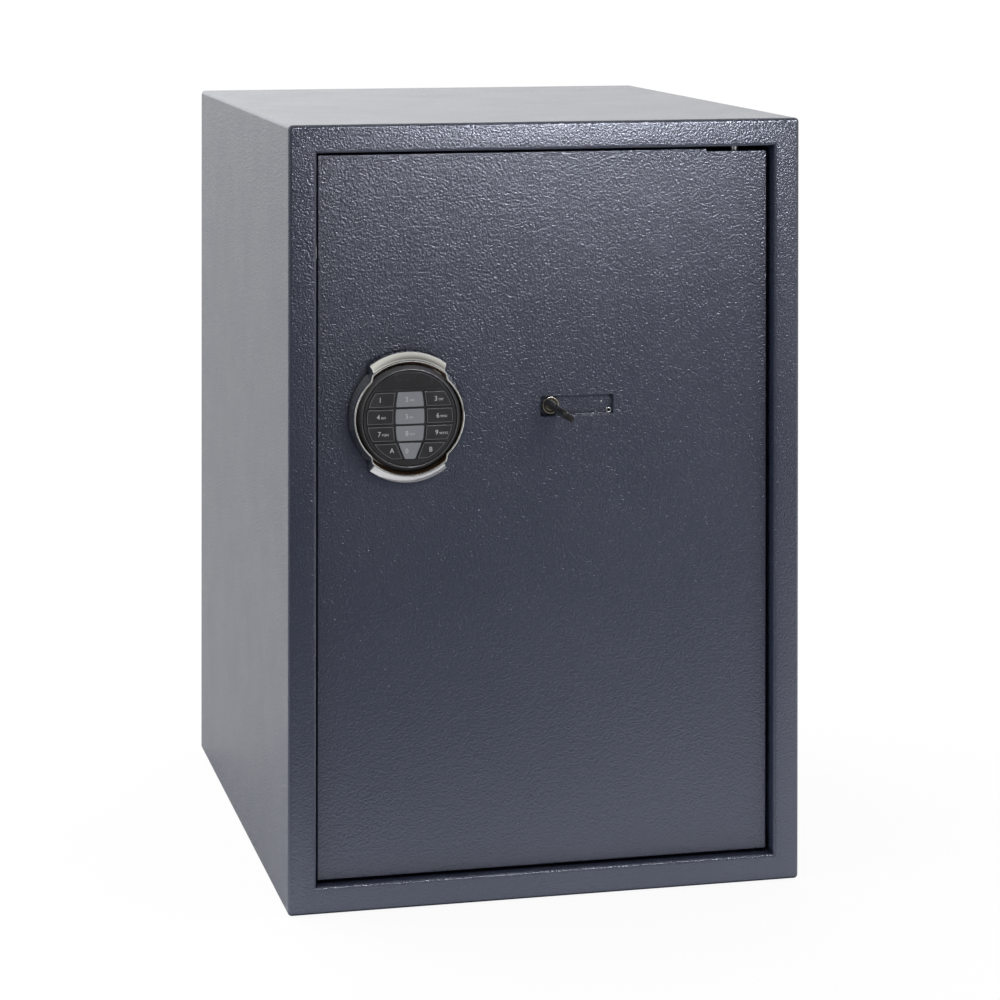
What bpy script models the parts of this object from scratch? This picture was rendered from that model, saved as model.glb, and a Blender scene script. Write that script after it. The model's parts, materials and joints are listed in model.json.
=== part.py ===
"""An in-room safe with a keypad lock, as separate pieces that fit together and move.

Metres, +Z up. The origin is the centre of the base on the floor. The door faces -Y and its hinge is on
the +X side. At rest the door is shut, the bolts are drawn back and the emergency key is in its lock.
"""

import math
from collections import namedtuple

import bmesh
import bpy
from mathutils import Matrix, Vector

MM = 0.001
GAP = 0.3 * MM  # clearance between neighbouring pieces

# Body: one folded sheet with a front frame whose inner edge is turned back as a lip.
BODY_WIDTH = 380 * MM
BODY_DEPTH = 445 * MM
BODY_HEIGHT = 560 * MM
SHEET = 2 * MM
FRAME_WIDTH = 20 * MM
LIP_DEPTH = 26 * MM
BEND_RADIUS = 3 * MM
ANCHOR_HOLE_RADIUS = 6 * MM

# Door leaf, set back behind the frame.
DOOR_RECESS = 9 * MM
DOOR_THICKNESS = 5 * MM
DOOR_GAP = 2 * MM
HINGE_SIDE_GAP = 3 * MM
RELIEF_WIDTH = 46 * MM
RELIEF_DEPTH = 2 * MM
TRAY_DEPTH = 36.2 * MM
TRAY_SHEET = 1.5 * MM

# Hinge pins, near the door's right edge and behind its leaf.
HINGE_X = 145 * MM
HINGE_SETBACK = 10 * MM
PIN_RADIUS = 3 * MM

# Turning ring round the keypad, with a flared ear above and below.
RING_X = -103.5 * MM
RING_Z = 350.6 * MM
RING_HEIGHT = 12 * MM
RIM_RADIUS = 40.3 * MM
RING_BASE_RADIUS = 42.3 * MM
EAR_RIM_RADIUS = 41.7 * MM
EAR_BASE_RADIUS = 46.8 * MM
EAR_WALL = 7.2 * MM  # height of the ear's outer wall, under its sloping face
SHOULDER_RADIUS = 41.2 * MM  # the side's radius at the height of the ear's wall
RIM_BEVEL = 4 * MM
RIM_WAIST = 1.3 * MM  # the rim draws in by this much beside the ears
EAR_ANGLE = math.radians(36.7)
EAR_END_ANGLE = math.radians(41.5)
RIM_EAR_ANGLE = math.radians(39.5)
RIM_NECK_ANGLE = math.radians(47)
BOWL_RADIUS = 38.3 * MM
SPINDLE_RADIUS = 10 * MM
SPINDLE_BORE = 7.2 * MM
STEM_RADIUS = 6.5 * MM

# Keypad.
BEZEL_RADIUS = 37.9 * MM
BEZEL_BACK = 2.6 * MM
PLATE_RADIUS = 33.9 * MM
PLATE_FRONT = 12.6 * MM
PLATE_THICKNESS = 4.4 * MM
KEY_FIELD_RADIUS = 31.4 * MM
KEY_TOP = 19 * MM
KEY_PITCH = 12.1 * MM
KEY_HEIGHT = 10.6 * MM
KEY_FOOT = -28.7 * MM
KEY_SPACE = 1.5 * MM
KEY_PROUD = 0.6 * MM
KEY_DEPTH = 2.1 * MM
KEY_POCKET = 2.2 * MM
MIDDLE_KEY_HALF = 10.5 * MM
MIDDLE_KEY_CURVE = 204 * MM
FOOT_KEY_HEAD = 8.4 * MM
FOOT_KEY_TAIL = 3.7 * MM
WINDOW_FOOT = 21.6 * MM
WINDOW_HEAD = 31.4 * MM
WINDOW_RADIUS = 32.6 * MM

# Bolt work.
BOLT_RADIUS = 10 * MM
BOLT_HEIGHTS = {"bottom": 100 * MM, "middle": 280 * MM, "top": 460 * MM}
BOLT_TIP = -160 * MM
BOLT_SETBACK = 28 * MM
BOLT_THROW = 20 * MM
CARRIAGE_X = -123 * MM
CARRIAGE_SHEET = 3 * MM
CRANK_PIN_RADIUS = 3 * MM

# Emergency lock in its shallow recess.
LOCK_X = 3.8 * MM
LOCK_Z = 353.7 * MM
RECESS_LOW = (-4.5 * MM, 346.4 * MM)
RECESS_HIGH = (50.1 * MM, 360.7 * MM)
RECESS_DEPTH = 3 * MM
RECESS_HOLE = (47.4 * MM, 348.8 * MM)
RECESS_HOLE_RADIUS = 1.8 * MM
RECESS_HOLE_DEPTH = 1 * MM
LOCK_BODY_RADIUS = 5.7 * MM
LOCK_FLANGE_RADIUS = 6.3 * MM
PLUG_RADIUS = 4.3 * MM
KEY_TILT = math.radians(-42)
BOW_FOOT = 1 * MM  # the key's bow starts this far in front of the door
BOW_LENGTH = 42 * MM
BOW_HALF_WIDTH = 7.5 * MM
BOW_HALF_THICKNESS = 2.8 * MM

# Inside.
SHELF_Z = 278 * MM
BATTERY_RADIUS = 7.1 * MM
BATTERY_LENGTH = 50 * MM

# Planes that follow from the sizes above.
HALF_WIDTH = BODY_WIDTH / 2
FRONT_Y = -BODY_DEPTH / 2
BACK_Y = BODY_DEPTH / 2
DOOR_Y = FRONT_Y + DOOR_RECESS
DOOR_BACK_Y = DOOR_Y + DOOR_THICKNESS
OPENING_X = HALF_WIDTH - FRAME_WIDTH
OPENING_LOW = FRAME_WIDTH
OPENING_HIGH = BODY_HEIGHT - FRAME_WIDTH
HINGE_Y = DOOR_Y + HINGE_SETBACK
BOLT_Y = DOOR_Y + BOLT_SETBACK
WALL_X = HALF_WIDTH - SHEET
TRAY_FRONT = DOOR_BACK_Y + GAP
TRAY_BACK = TRAY_FRONT + TRAY_DEPTH
TRAY_INSIDE = TRAY_BACK - TRAY_SHEET
TRAY_LOW = (-152 * MM, 42 * MM)
TRAY_HIGH = (106 * MM, 518 * MM)
TRAY_FLANGE = 12 * MM
SCREW_INSET = 30 * MM
PLUNGER_X = RING_X + 19.2 * MM
PLUNGER_Y = DOOR_Y + 20 * MM
PLUNGER_FOOT = RING_Z + 45.6 * MM

FINISHES = {
    "slate_paint": ((0.062, 0.072, 0.098), 0.42, 0.35),
    "black_paint": ((0.020, 0.021, 0.024), 0.5, 0.0),
    "chrome": ((0.80, 0.80, 0.79), 0.08, 1.0),
    "steel": ((0.56, 0.56, 0.55), 0.3, 1.0),
    "zinc": ((0.50, 0.50, 0.47), 0.38, 1.0),
    "brass": ((0.62, 0.52, 0.34), 0.25, 1.0),
    "black_plastic": ((0.016, 0.016, 0.018), 0.38, 0.0),
    "smoked_plastic": ((0.010, 0.010, 0.011), 0.12, 0.0),
    "grey_plastic": ((0.22, 0.24, 0.30), 0.45, 0.0),
    "dark_felt": ((0.020, 0.021, 0.024), 0.95, 0.0),
    "green_board": ((0.02, 0.12, 0.06), 0.5, 0.0),
    "battery_wrap": ((0.05, 0.05, 0.055), 0.35, 0.2),
    "red_plastic": ((0.45, 0.02, 0.02), 0.4, 0.0),
}

Pivot = namedtuple("Pivot", "empty place")
ORIGIN = Pivot(None, Vector((0, 0, 0)))


# ---------------------------------------------------------------- objects


def clear_scene():
    for item in list(bpy.data.objects):
        bpy.data.objects.remove(item, do_unlink=True)


def make_pivot(name, place, parent=ORIGIN):
    """An empty on a joint's axis. Its children turn or slide with it."""
    empty = bpy.data.objects.new(name, None)
    empty.empty_display_size = 20 * MM
    empty.parent = parent.empty
    empty.location = Vector(place) - parent.place
    bpy.context.collection.objects.link(empty)
    return Pivot(empty, Vector(place))


def make_material(name, finish):
    colour, roughness, metallic = FINISHES[finish]
    material = bpy.data.materials.new(name)
    material.use_nodes = True
    shader = material.node_tree.nodes["Principled BSDF"]
    shader.inputs["Base Color"].default_value = (*colour, 1)
    shader.inputs["Roughness"].default_value = roughness
    shader.inputs["Metallic"].default_value = metallic
    return material


def add_piece(name, shape, finish, pivot=ORIGIN):
    """Make a named object from a shape in world coordinates, with its origin on its pivot."""
    bmesh.ops.remove_doubles(shape, verts=shape.verts, dist=0.001 * MM)
    bmesh.ops.recalc_face_normals(shape, faces=shape.faces)
    bmesh.ops.translate(shape, verts=shape.verts, vec=-pivot.place)
    mesh = bpy.data.meshes.new(name)
    shape.to_mesh(mesh)
    shape.free()
    mesh.shade_smooth()
    mesh.set_sharp_from_angle(angle=math.radians(32))
    piece = bpy.data.objects.new(name, mesh)
    piece.data.materials.append(make_material(name + "_finish", finish))
    piece.parent = pivot.empty
    bpy.context.collection.objects.link(piece)
    return piece


# ---------------------------------------------------------------- shapes


def in_space(axis, flat, height):
    """A point from its two coordinates across an axis and its height along it."""
    first, second = flat
    if axis == "X":
        return Vector((height, first, second))
    if axis == "Y":
        return Vector((first, height, second))
    return Vector((first, second, height))


def skin(rings, closed):
    """Close the space between rings of points, which all hold the same number of points."""
    shape = bmesh.new()
    rows = [[shape.verts.new(point) for point in ring] for ring in rings]
    pairs = list(zip(rows, rows[1:] + rows[:1])) if closed else list(zip(rows, rows[1:]))
    for lower, upper in pairs:
        for i in range(len(lower)):
            j = (i + 1) % len(lower)
            shape.faces.new((lower[i], lower[j], upper[j], upper[i]))
    if not closed:
        shape.faces.new(rows[0])
        shape.faces.new(rows[-1])
    bmesh.ops.remove_doubles(shape, verts=shape.verts, dist=0.001 * MM)
    bmesh.ops.dissolve_degenerate(shape, edges=shape.edges, dist=0.001 * MM)
    loose = [edge for edge in shape.edges if edge.is_wire]
    bmesh.ops.delete(shape, geom=loose, context="EDGES")
    bmesh.ops.recalc_face_normals(shape, faces=shape.faces)
    return shape


def prism(axis, outline, start, end):
    return skin([[in_space(axis, flat, height) for flat in outline] for height in (start, end)], False)


def block(low, high):
    outline = [(low[0], low[1]), (high[0], low[1]), (high[0], high[1]), (low[0], high[1])]
    return prism("Z", outline, low[2], high[2])


def arc(centre, radius, start, end, steps):
    """Points on an arc, both ends included."""
    angles = [start + (end - start) * i / steps for i in range(steps + 1)]
    return [(centre[0] + radius * math.cos(a), centre[1] + radius * math.sin(a)) for a in angles]


def circle(centre, radius, sides):
    return arc(centre, radius, 0, 2 * math.pi, sides)[:-1]


def rounded_rectangle(low, high, radius, steps=4):
    """A rectangle's outline with rounded corners, anticlockwise from its right-hand foot."""
    corners = [
        (high[0] - radius, low[1] + radius, -0.5),
        (high[0] - radius, high[1] - radius, 0),
        (low[0] + radius, high[1] - radius, 0.5),
        (low[0] + radius, low[1] + radius, 1),
    ]
    points = []
    for x, z, quarter in corners:
        start = quarter * math.pi
        points += arc((x, z), radius, start, start + math.pi / 2, steps)
    return points


def turned(axis, centre, profile, sides=32):
    """Turn a closed profile of (radius, height) pairs about an axis."""
    rings = []
    for radius, height in profile:
        rings.append([in_space(axis, flat, height) for flat in circle(centre, radius, sides)])
    return skin(rings, True)


def rod(axis, centre, radius, start, end, sides=24):
    return prism(axis, circle(centre, radius, sides), start, end)


def tube(axis, centre, inner, outer, start, end, sides=32):
    return turned(axis, centre, [(inner, start), (outer, start), (outer, end), (inner, end)], sides)


def helper_object(name, shape):
    mesh = bpy.data.meshes.new(name)
    shape.to_mesh(mesh)
    shape.free()
    helper = bpy.data.objects.new(name, mesh)
    bpy.context.collection.objects.link(helper)
    return helper


def combine(shape, tools, operation):
    """Cut the tools from a shape (DIFFERENCE) or join them to it (UNION)."""
    body = helper_object("boolean_body", shape)
    helpers = [helper_object("boolean_tool", tool) for tool in tools]
    for helper in helpers:
        modifier = body.modifiers.new("boolean", "BOOLEAN")
        modifier.operation = operation
        modifier.solver = "EXACT"
        modifier.object = helper
    result = bmesh.new()
    result.from_object(body, bpy.context.evaluated_depsgraph_get())
    for helper in [body, *helpers]:
        bpy.data.objects.remove(helper, do_unlink=True)
    return result


def cut(shape, *tools):
    return combine(shape, tools, "DIFFERENCE")


def join(shape, *tools):
    return combine(shape, tools, "UNION")


# ---------------------------------------------------------------- body


def shell_profile():
    """The folded sheet's section, as (distance in from the outside, distance back from the front)."""
    outer_bend = [
        (BEND_RADIUS - x, BEND_RADIUS - y)
        for x, y in arc((0, 0), BEND_RADIUS, 0, math.pi / 2, 3)
    ]
    edge = 1.2 * MM
    lip_edge = [
        (FRAME_WIDTH - edge + x, edge - y)
        for x, y in arc((0, 0), edge, math.pi / 2, 0, 2)
    ]
    return [
        (0, BODY_DEPTH),
        *outer_bend,
        *lip_edge,
        (FRAME_WIDTH, LIP_DEPTH),
        (FRAME_WIDTH - SHEET, LIP_DEPTH),
        (FRAME_WIDTH - SHEET, SHEET),
        (BEND_RADIUS, SHEET),
        (SHEET, BEND_RADIUS),
        (SHEET, BODY_DEPTH),
    ]


def make_body_shell():
    rings = []
    for inset, back in shell_profile():
        radius = max(BEND_RADIUS - inset, 0)
        outline = rounded_rectangle(
            (-HALF_WIDTH + inset, inset), (HALF_WIDTH - inset, BODY_HEIGHT - inset), radius, 3
        )
        rings.append([in_space("Y", flat, FRONT_Y + back) for flat in outline])
    shape = skin(rings, True)
    hinge = (HINGE_X, HINGE_Y)
    holes = [
        rod("Z", hinge, PIN_RADIUS + GAP, OPENING_HIGH - MM, OPENING_HIGH + 3 * MM),
        rod("Z", hinge, PIN_RADIUS + GAP, OPENING_LOW - 3 * MM, OPENING_LOW + MM),
    ]
    for x in (-110 * MM, 110 * MM):
        for y in (-120 * MM, 120 * MM):
            holes.append(rod("Z", (x, y), ANCHOR_HOLE_RADIUS, -MM, SHEET + MM))
    add_piece("body_shell", cut(shape, *holes), "slate_paint")


def make_back_panel():
    inside = WALL_X - GAP
    outline = rounded_rectangle((-inside, SHEET + GAP), (inside, BODY_HEIGHT - SHEET - GAP), MM, 2)
    front = BACK_Y - MM - SHEET
    shape = prism("Y", outline, front, front + SHEET)
    holes = [rod("Y", (x, 420 * MM), ANCHOR_HOLE_RADIUS, front - MM, BACK_Y) for x in (-90 * MM, 90 * MM)]
    add_piece("back_panel", cut(shape, *holes), "slate_paint")


def make_shelf():
    front = FRONT_Y + 74.5 * MM
    back = BACK_Y - 18 * MM
    sheet = TRAY_SHEET
    outline = [
        (front, SHELF_Z - 16 * MM),
        (front + sheet, SHELF_Z - 16 * MM),
        (front + sheet, SHELF_Z),
        (back, SHELF_Z),
        (back, SHELF_Z + sheet),
        (front, SHELF_Z + sheet),
    ]
    add_piece("shelf", prism("X", outline, -WALL_X + 3 * MM, WALL_X - 3 * MM), "slate_paint")
    for name, side in (("left", -1), ("right", 1)):
        make_shelf_rail("shelf_rail_" + name, side, front + 5 * MM, back - 5 * MM)


def make_shelf_rail(name, side, front, back):
    wall = WALL_X - GAP
    top = SHELF_Z - GAP
    sheet = TRAY_SHEET
    outline = [
        (side * wall, top - 16 * MM),
        (side * wall, top),
        (side * (wall - 15 * MM), top),
        (side * (wall - 15 * MM), top - sheet),
        (side * (wall - sheet), top - sheet),
        (side * (wall - sheet), top - 16 * MM),
    ]
    add_piece(name, prism("Y", outline, front, back), "zinc")


def make_floor_mat():
    foot = SHEET + GAP
    side = WALL_X - 4 * MM
    outline = rounded_rectangle((-side, FRONT_Y + 31 * MM), (side, BACK_Y - 6 * MM), 6 * MM)
    add_piece("floor_mat", prism("Z", outline, foot, foot + 3 * MM), "dark_felt")


def make_hinge_plates():
    """Doublers behind the lip at head and foot, which carry the hinge pins' ends."""
    lip = FRAME_WIDTH - SHEET - GAP
    for name, face, side in (("bottom", lip, -1), ("top", BODY_HEIGHT - lip, 1)):
        low, high = sorted((face, face + side * 4 * MM))
        front = FRONT_Y + 4.5 * MM
        back = HINGE_Y + 6.5 * MM
        shape = block((HINGE_X - 16 * MM, front, low), (HINGE_X + 18 * MM, back, high))
        hole = rod("Z", (HINGE_X, HINGE_Y), PIN_RADIUS + GAP, low - MM, high + MM)
        add_piece("hinge_plate_" + name, cut(shape, hole), "zinc")


# ---------------------------------------------------------------- door


def make_door_plate(door):
    left = -OPENING_X + DOOR_GAP
    right = OPENING_X - HINGE_SIDE_GAP
    low = OPENING_LOW + DOOR_GAP
    high = OPENING_HIGH - DOOR_GAP
    relief = right - RELIEF_WIDTH
    outline = [
        (left, low),
        (relief, low),
        (relief, low + RELIEF_DEPTH),
        (right, low + RELIEF_DEPTH),
        (right, high - RELIEF_DEPTH),
        (relief, high - RELIEF_DEPTH),
        (relief, high),
        (left, high),
    ]
    shape = prism("Y", outline, DOOR_Y, DOOR_BACK_Y)
    recess = rounded_rectangle(RECESS_LOW, RECESS_HIGH, 1.5 * MM, 3)
    front = DOOR_Y - MM
    back = DOOR_BACK_Y + MM
    tools = [
        prism("Y", recess, front, DOOR_Y + RECESS_DEPTH),
        rod("Y", (LOCK_X, LOCK_Z), LOCK_BODY_RADIUS + GAP, front, back),
        rod("Y", RECESS_HOLE, RECESS_HOLE_RADIUS, front, DOOR_Y + RECESS_DEPTH + RECESS_HOLE_DEPTH, 16),
        rod("Y", (RING_X, RING_Z), SPINDLE_RADIUS + 0.4 * MM, front, back, 32),
    ]
    for x, z in screw_places():
        tools.append(rod("Y", (x, z), 2.3 * MM, DOOR_BACK_Y - 3.5 * MM, back, 16))
    add_piece("door_plate", cut(shape, *tools), "slate_paint", door)


def screw_places():
    half = TRAY_FLANGE / 2
    xs = (TRAY_LOW[0] - half, TRAY_HIGH[0] + half)
    zs = (TRAY_LOW[1] + SCREW_INSET, TRAY_HIGH[1] - SCREW_INSET)
    return [(x, z) for z in zs for x in xs]


def tray_rectangle(grow):
    """The tray wall's outline, moved out (or in, where negative) by a distance."""
    return [
        (TRAY_LOW[0] - grow, TRAY_LOW[1] - grow),
        (TRAY_HIGH[0] + grow, TRAY_LOW[1] - grow),
        (TRAY_HIGH[0] + grow, TRAY_HIGH[1] + grow),
        (TRAY_LOW[0] - grow, TRAY_HIGH[1] + grow),
    ]


def make_door_tray(door):
    """The inner cover: a flanged pan screwed to the back of the door."""
    section = [
        (-TRAY_SHEET, TRAY_INSIDE),
        (-TRAY_SHEET, TRAY_FRONT),
        (TRAY_FLANGE, TRAY_FRONT),
        (TRAY_FLANGE, TRAY_FRONT + TRAY_SHEET),
        (0, TRAY_FRONT + TRAY_SHEET),
        (0, TRAY_BACK),
    ]
    rings = [[in_space("Y", flat, y) for flat in tray_rectangle(grow)] for grow, y in section]
    shape = skin(rings, False)
    wall = TRAY_LOW[0]
    tools = [
        rod("X", (BOLT_Y, z), BOLT_RADIUS + 0.4 * MM, wall - MM, wall + 3 * MM, 32)
        for z in BOLT_HEIGHTS.values()
    ]
    tools.append(block((22 * MM, TRAY_INSIDE - MM, 118 * MM), (98 * MM, TRAY_BACK + MM, 192 * MM)))
    tools.append(rod("Y", (95 * MM, 300 * MM), 4.4 * MM, TRAY_INSIDE - MM, TRAY_BACK + MM))
    for place in screw_places():
        tools.append(rod("Y", place, 2.3 * MM, TRAY_FRONT - MM, TRAY_FRONT + 3 * MM, 16))
    add_piece("door_tray", cut(shape, *tools), "black_paint", door)


def make_tray_screws(door):
    seat = TRAY_FRONT + TRAY_SHEET + GAP
    names = ("bottom_left", "bottom_right", "top_left", "top_right")
    for name, place in zip(names, screw_places()):
        profile = [
            (0, DOOR_BACK_Y - 3 * MM),
            (2 * MM, DOOR_BACK_Y - 3 * MM),
            (2 * MM, seat),
            (4 * MM, seat),
            (3.4 * MM, seat + 1.8 * MM),
            (0, seat + 2.2 * MM),
        ]
        add_piece("tray_screw_" + name, turned("Y", place, profile, 16), "zinc", door)


def make_hinge_leaves(door):
    """Blocks on the back of the door, each with a pin that turns in the frame's lip."""
    reach = 11.5 * MM
    length = 40 * MM
    high = OPENING_HIGH - DOOR_GAP - RELIEF_DEPTH - GAP
    low = OPENING_LOW + DOOR_GAP + RELIEF_DEPTH + GAP
    for name, foot, head, pin_foot in (
        ("bottom", low, low + length, FRAME_WIDTH - SHEET - 3 * MM),
        ("top", high - length, high, high - 30 * MM),
    ):
        pin_head = pin_foot + (low + 30 * MM - FRAME_WIDTH + SHEET + 3 * MM)
        shape = block((HINGE_X - 14 * MM, TRAY_FRONT, foot), (HINGE_X + 18 * MM, TRAY_FRONT + reach, head))
        hole = rod("Z", (HINGE_X, HINGE_Y), PIN_RADIUS + GAP, pin_foot - 0.5 * MM, pin_head + 0.5 * MM)
        add_piece("hinge_block_" + name, cut(shape, hole), "slate_paint", door)
        pin = rod("Z", (HINGE_X, HINGE_Y), PIN_RADIUS, pin_foot, pin_head)
        add_piece("hinge_pin_" + name, pin, "steel", door)


# ---------------------------------------------------------------- turning ring and bolt work


def from_vertical(angle):
    """How far a direction round the ring is from straight up or straight down."""
    return abs(math.pi / 2 - abs(angle))


def ear_share(angle):
    """How much of the ear's face a direction has: 1 on the ears, 0 at the sides, a straight end between."""
    rest = (EAR_END_ANGLE - from_vertical(angle)) / (EAR_END_ANGLE - EAR_ANGLE)
    return min(max(rest, 0), 1)


def rim_share(angle):
    """How much of the ear's wider rim a direction has, with a smooth neck between ear and side."""
    rest = (RIM_NECK_ANGLE - from_vertical(angle)) / (RIM_NECK_ANGLE - RIM_EAR_ANGLE)
    rest = min(max(rest, 0), 1)
    return rest * rest * (3 - 2 * rest)


def waist(angle):
    """How much the side's rim draws in at a direction: nothing at mid side, most beside the ears."""
    spread = math.pi / 2 - RIM_NECK_ANGLE
    nearness = min((math.pi / 2 - from_vertical(angle)) / spread, 1)
    return RIM_WAIST * nearness**1.5


def ring_angles():
    """Directions round the ring, closer together at the ends of the ears."""
    quarter = [EAR_ANGLE * i / 6 for i in range(7)]
    quarter += [EAR_ANGLE + (RIM_NECK_ANGLE - EAR_ANGLE) * (i + 1) / 6 for i in range(6)]
    quarter += [RIM_NECK_ANGLE + (math.pi / 2 - RIM_NECK_ANGLE) * (i + 1) / 7 for i in range(7)]
    head = [math.pi / 2 - a for a in reversed(quarter)] + [math.pi / 2 + a for a in quarter[1:]]
    foot = [a - math.pi for a in head[1:-1]]
    return head + foot


def ring_section(angle):
    """Radius and depth of the ring's closed section at a direction."""
    rim_front = DOOR_Y - RING_HEIGHT
    foot = DOOR_Y - GAP
    floor = foot - 2 * MM
    soft = 0.4 * MM
    ear = ear_share(angle)
    draw = waist(angle)
    rim = RIM_RADIUS - draw
    rim += rim_share(angle) * (EAR_RIM_RADIUS - rim)
    shoulder = SHOULDER_RADIUS - draw
    wall = max(shoulder + ear * (EAR_BASE_RADIUS - shoulder), rim + soft)
    base = max(RING_BASE_RADIUS + ear * (EAR_BASE_RADIUS - RING_BASE_RADIUS), wall)
    return [
        (base, foot),
        (wall, DOOR_Y - EAR_WALL),
        (wall - soft, DOOR_Y - EAR_WALL - soft),
        (rim, rim_front + soft),
        (rim - soft, rim_front),
        (BOWL_RADIUS, rim_front + RIM_BEVEL),
        (BOWL_RADIUS, floor),
        (SPINDLE_BORE, floor),
        (SPINDLE_BORE, foot),
    ]


def make_turn_ring(ring):
    """The ring's bowl: two ears with sloping faces, a bevelled rim and a floor with the spindle's hole."""
    columns = []
    for angle in ring_angles():
        column = []
        for radius, y in ring_section(angle):
            flat = (RING_X + radius * math.cos(angle), RING_Z + radius * math.sin(angle))
            column.append(in_space("Y", flat, y))
        columns.append(column)
    rings = [list(row) for row in zip(*columns)]
    add_piece("turn_ring", skin(rings, True), "chrome", ring)


def make_spindle(door, ring):
    """The hollow spindle, its bush on the door and the disc whose pin drives the bolts."""
    centre = (RING_X, RING_Z)
    disc_front = DOOR_Y + 14.8 * MM
    disc_back = disc_front + 3 * MM
    spindle = tube("Y", centre, SPINDLE_BORE, SPINDLE_RADIUS, DOOR_Y, disc_front - GAP)
    add_piece("ring_spindle", spindle, "steel", ring)
    bush = [
        (SPINDLE_RADIUS + GAP, TRAY_FRONT),
        (17 * MM, TRAY_FRONT),
        (17 * MM, TRAY_FRONT + 1.5 * MM),
        (13 * MM, TRAY_FRONT + 1.5 * MM),
        (13 * MM, TRAY_FRONT + 5 * MM),
        (SPINDLE_RADIUS + GAP, TRAY_FRONT + 5 * MM),
    ]
    add_piece("spindle_bush", turned("Y", centre, bush), "zinc", door)
    disc = tube("Y", centre, SPINDLE_BORE, 20 * MM, disc_front, disc_back, 40)
    half = BOLT_THROW / 2
    pin_place = (RING_X + half, RING_Z + half)
    pin = rod("Y", pin_place, CRANK_PIN_RADIUS, disc_front + MM, disc_back + 5.7 * MM, 20)
    add_piece("crank_disc", join(disc, pin), "zinc", ring)


def make_bolts(carriage):
    """Three round bolts on an angle plate. The plate's slots clear the crank pin, stem and plunger."""
    low = min(BOLT_HEIGHTS.values()) - 20 * MM
    high = max(BOLT_HEIGHTS.values()) + 20 * MM
    web_front = DOOR_Y + 18.5 * MM
    web_low = RING_Z - 40 * MM
    web_high = RING_Z + 44.8 * MM
    strip = block((CARRIAGE_X, web_front, low), (CARRIAGE_X + CARRIAGE_SHEET, web_front + 19 * MM, high))
    web = block(
        (CARRIAGE_X + MM, web_front + 0.01 * MM, web_low),
        (RING_X + 47.2 * MM, web_front + CARRIAGE_SHEET, web_high),
    )
    shape = join(strip, web)
    front = web_front - MM
    back = web_front + CARRIAGE_SHEET + MM
    slack = CRANK_PIN_RADIUS + 0.8 * MM
    stem_slack = STEM_RADIUS + 0.7 * MM
    crank_x = RING_X + BOLT_THROW / 2
    reach = BOLT_THROW / math.sqrt(2)
    tools = [
        block((crank_x - slack, front, RING_Z + 3 * MM), (crank_x + slack, back, RING_Z + reach + slack)),
        prism(
            "Y",
            rounded_rectangle(
                (RING_X - stem_slack, RING_Z - stem_slack),
                (RING_X + BOLT_THROW + stem_slack, RING_Z + stem_slack),
                stem_slack - MM,
                5,
            ),
            front,
            back,
        ),
    ]
    for shift in (0, BOLT_THROW):
        x = PLUNGER_X + shift
        tools.append(block((x - 3.6 * MM, front, web_high - 6 * MM), (x + 3.6 * MM, back, web_high + MM)))
    add_piece("bolt_carriage", cut(shape, *tools), "zinc", carriage)
    for name, z in BOLT_HEIGHTS.items():
        profile = [
            (0, BOLT_TIP),
            (BOLT_RADIUS - MM, BOLT_TIP),
            (BOLT_RADIUS, BOLT_TIP + MM),
            (BOLT_RADIUS, CARRIAGE_X - GAP),
            (0, CARRIAGE_X - GAP),
        ]
        add_piece("bolt_" + name, turned("X", (BOLT_Y, z), profile), "chrome", carriage)


def make_bolt_guide(door):
    """A plate inside the tray that keeps the three bolts in line."""
    low = min(BOLT_HEIGHTS.values()) - 20 * MM
    high = max(BOLT_HEIGHTS.values()) + 20 * MM
    left = TRAY_LOW[0] + TRAY_SHEET + 1.5 * MM
    shape = block((left, TRAY_FRONT, low), (left + 3 * MM, TRAY_INSIDE - 0.5 * MM, high))
    bore = BOLT_RADIUS + 0.4 * MM
    holes = [rod("X", (BOLT_Y, z), bore, left - MM, left + 4 * MM, 32) for z in BOLT_HEIGHTS.values()]
    add_piece("bolt_guide", cut(shape, *holes), "zinc", door)


def make_solenoid(door, plunger):
    """The coil that drops a plunger into the carriage's notches."""
    foot = PLUNGER_FOOT + 9 * MM
    half_width = 12 * MM
    half_depth = 11.5 * MM
    body = block(
        (PLUNGER_X - half_width, PLUNGER_Y - half_depth, foot),
        (PLUNGER_X + half_width, PLUNGER_Y + half_depth, foot + 35 * MM),
    )
    hole = rod("Z", (PLUNGER_X, PLUNGER_Y), 3.4 * MM, foot - MM, foot + 27 * MM)
    add_piece("solenoid_body", cut(body, hole), "zinc", door)
    pin = rod("Z", (PLUNGER_X, PLUNGER_Y), 3 * MM, PLUNGER_FOOT, foot + 24 * MM)
    add_piece("solenoid_plunger", pin, "steel", plunger)


# ---------------------------------------------------------------- keypad


def middle_half_width(z):
    """Half the width of the keypad's middle column, which bulges a little at mid height."""
    return MIDDLE_KEY_HALF - z * z / MIDDLE_KEY_CURVE


def side_key(low, high, inner, side, grow):
    """A key between the middle column's edge and the key field's circle."""
    radius = KEY_FIELD_RADIUS + grow
    steps = 3
    heights = [low - grow + (high - low + 2 * grow) * i / steps for i in range(steps + 1)]
    near = [(side * (inner(z) + KEY_SPACE - grow), z) for z in heights]
    far = [(side * math.sqrt(max(radius**2 - z**2, 0)), z) for z in reversed(heights)]
    return near + far


def foot_key_side(z):
    """Half the width of the key in the foot row, which narrows downwards."""
    head = KEY_TOP - 3 * KEY_PITCH
    return FOOT_KEY_HEAD - (FOOT_KEY_HEAD - FOOT_KEY_TAIL) * (head - z) / (head - KEY_FOOT)


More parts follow.
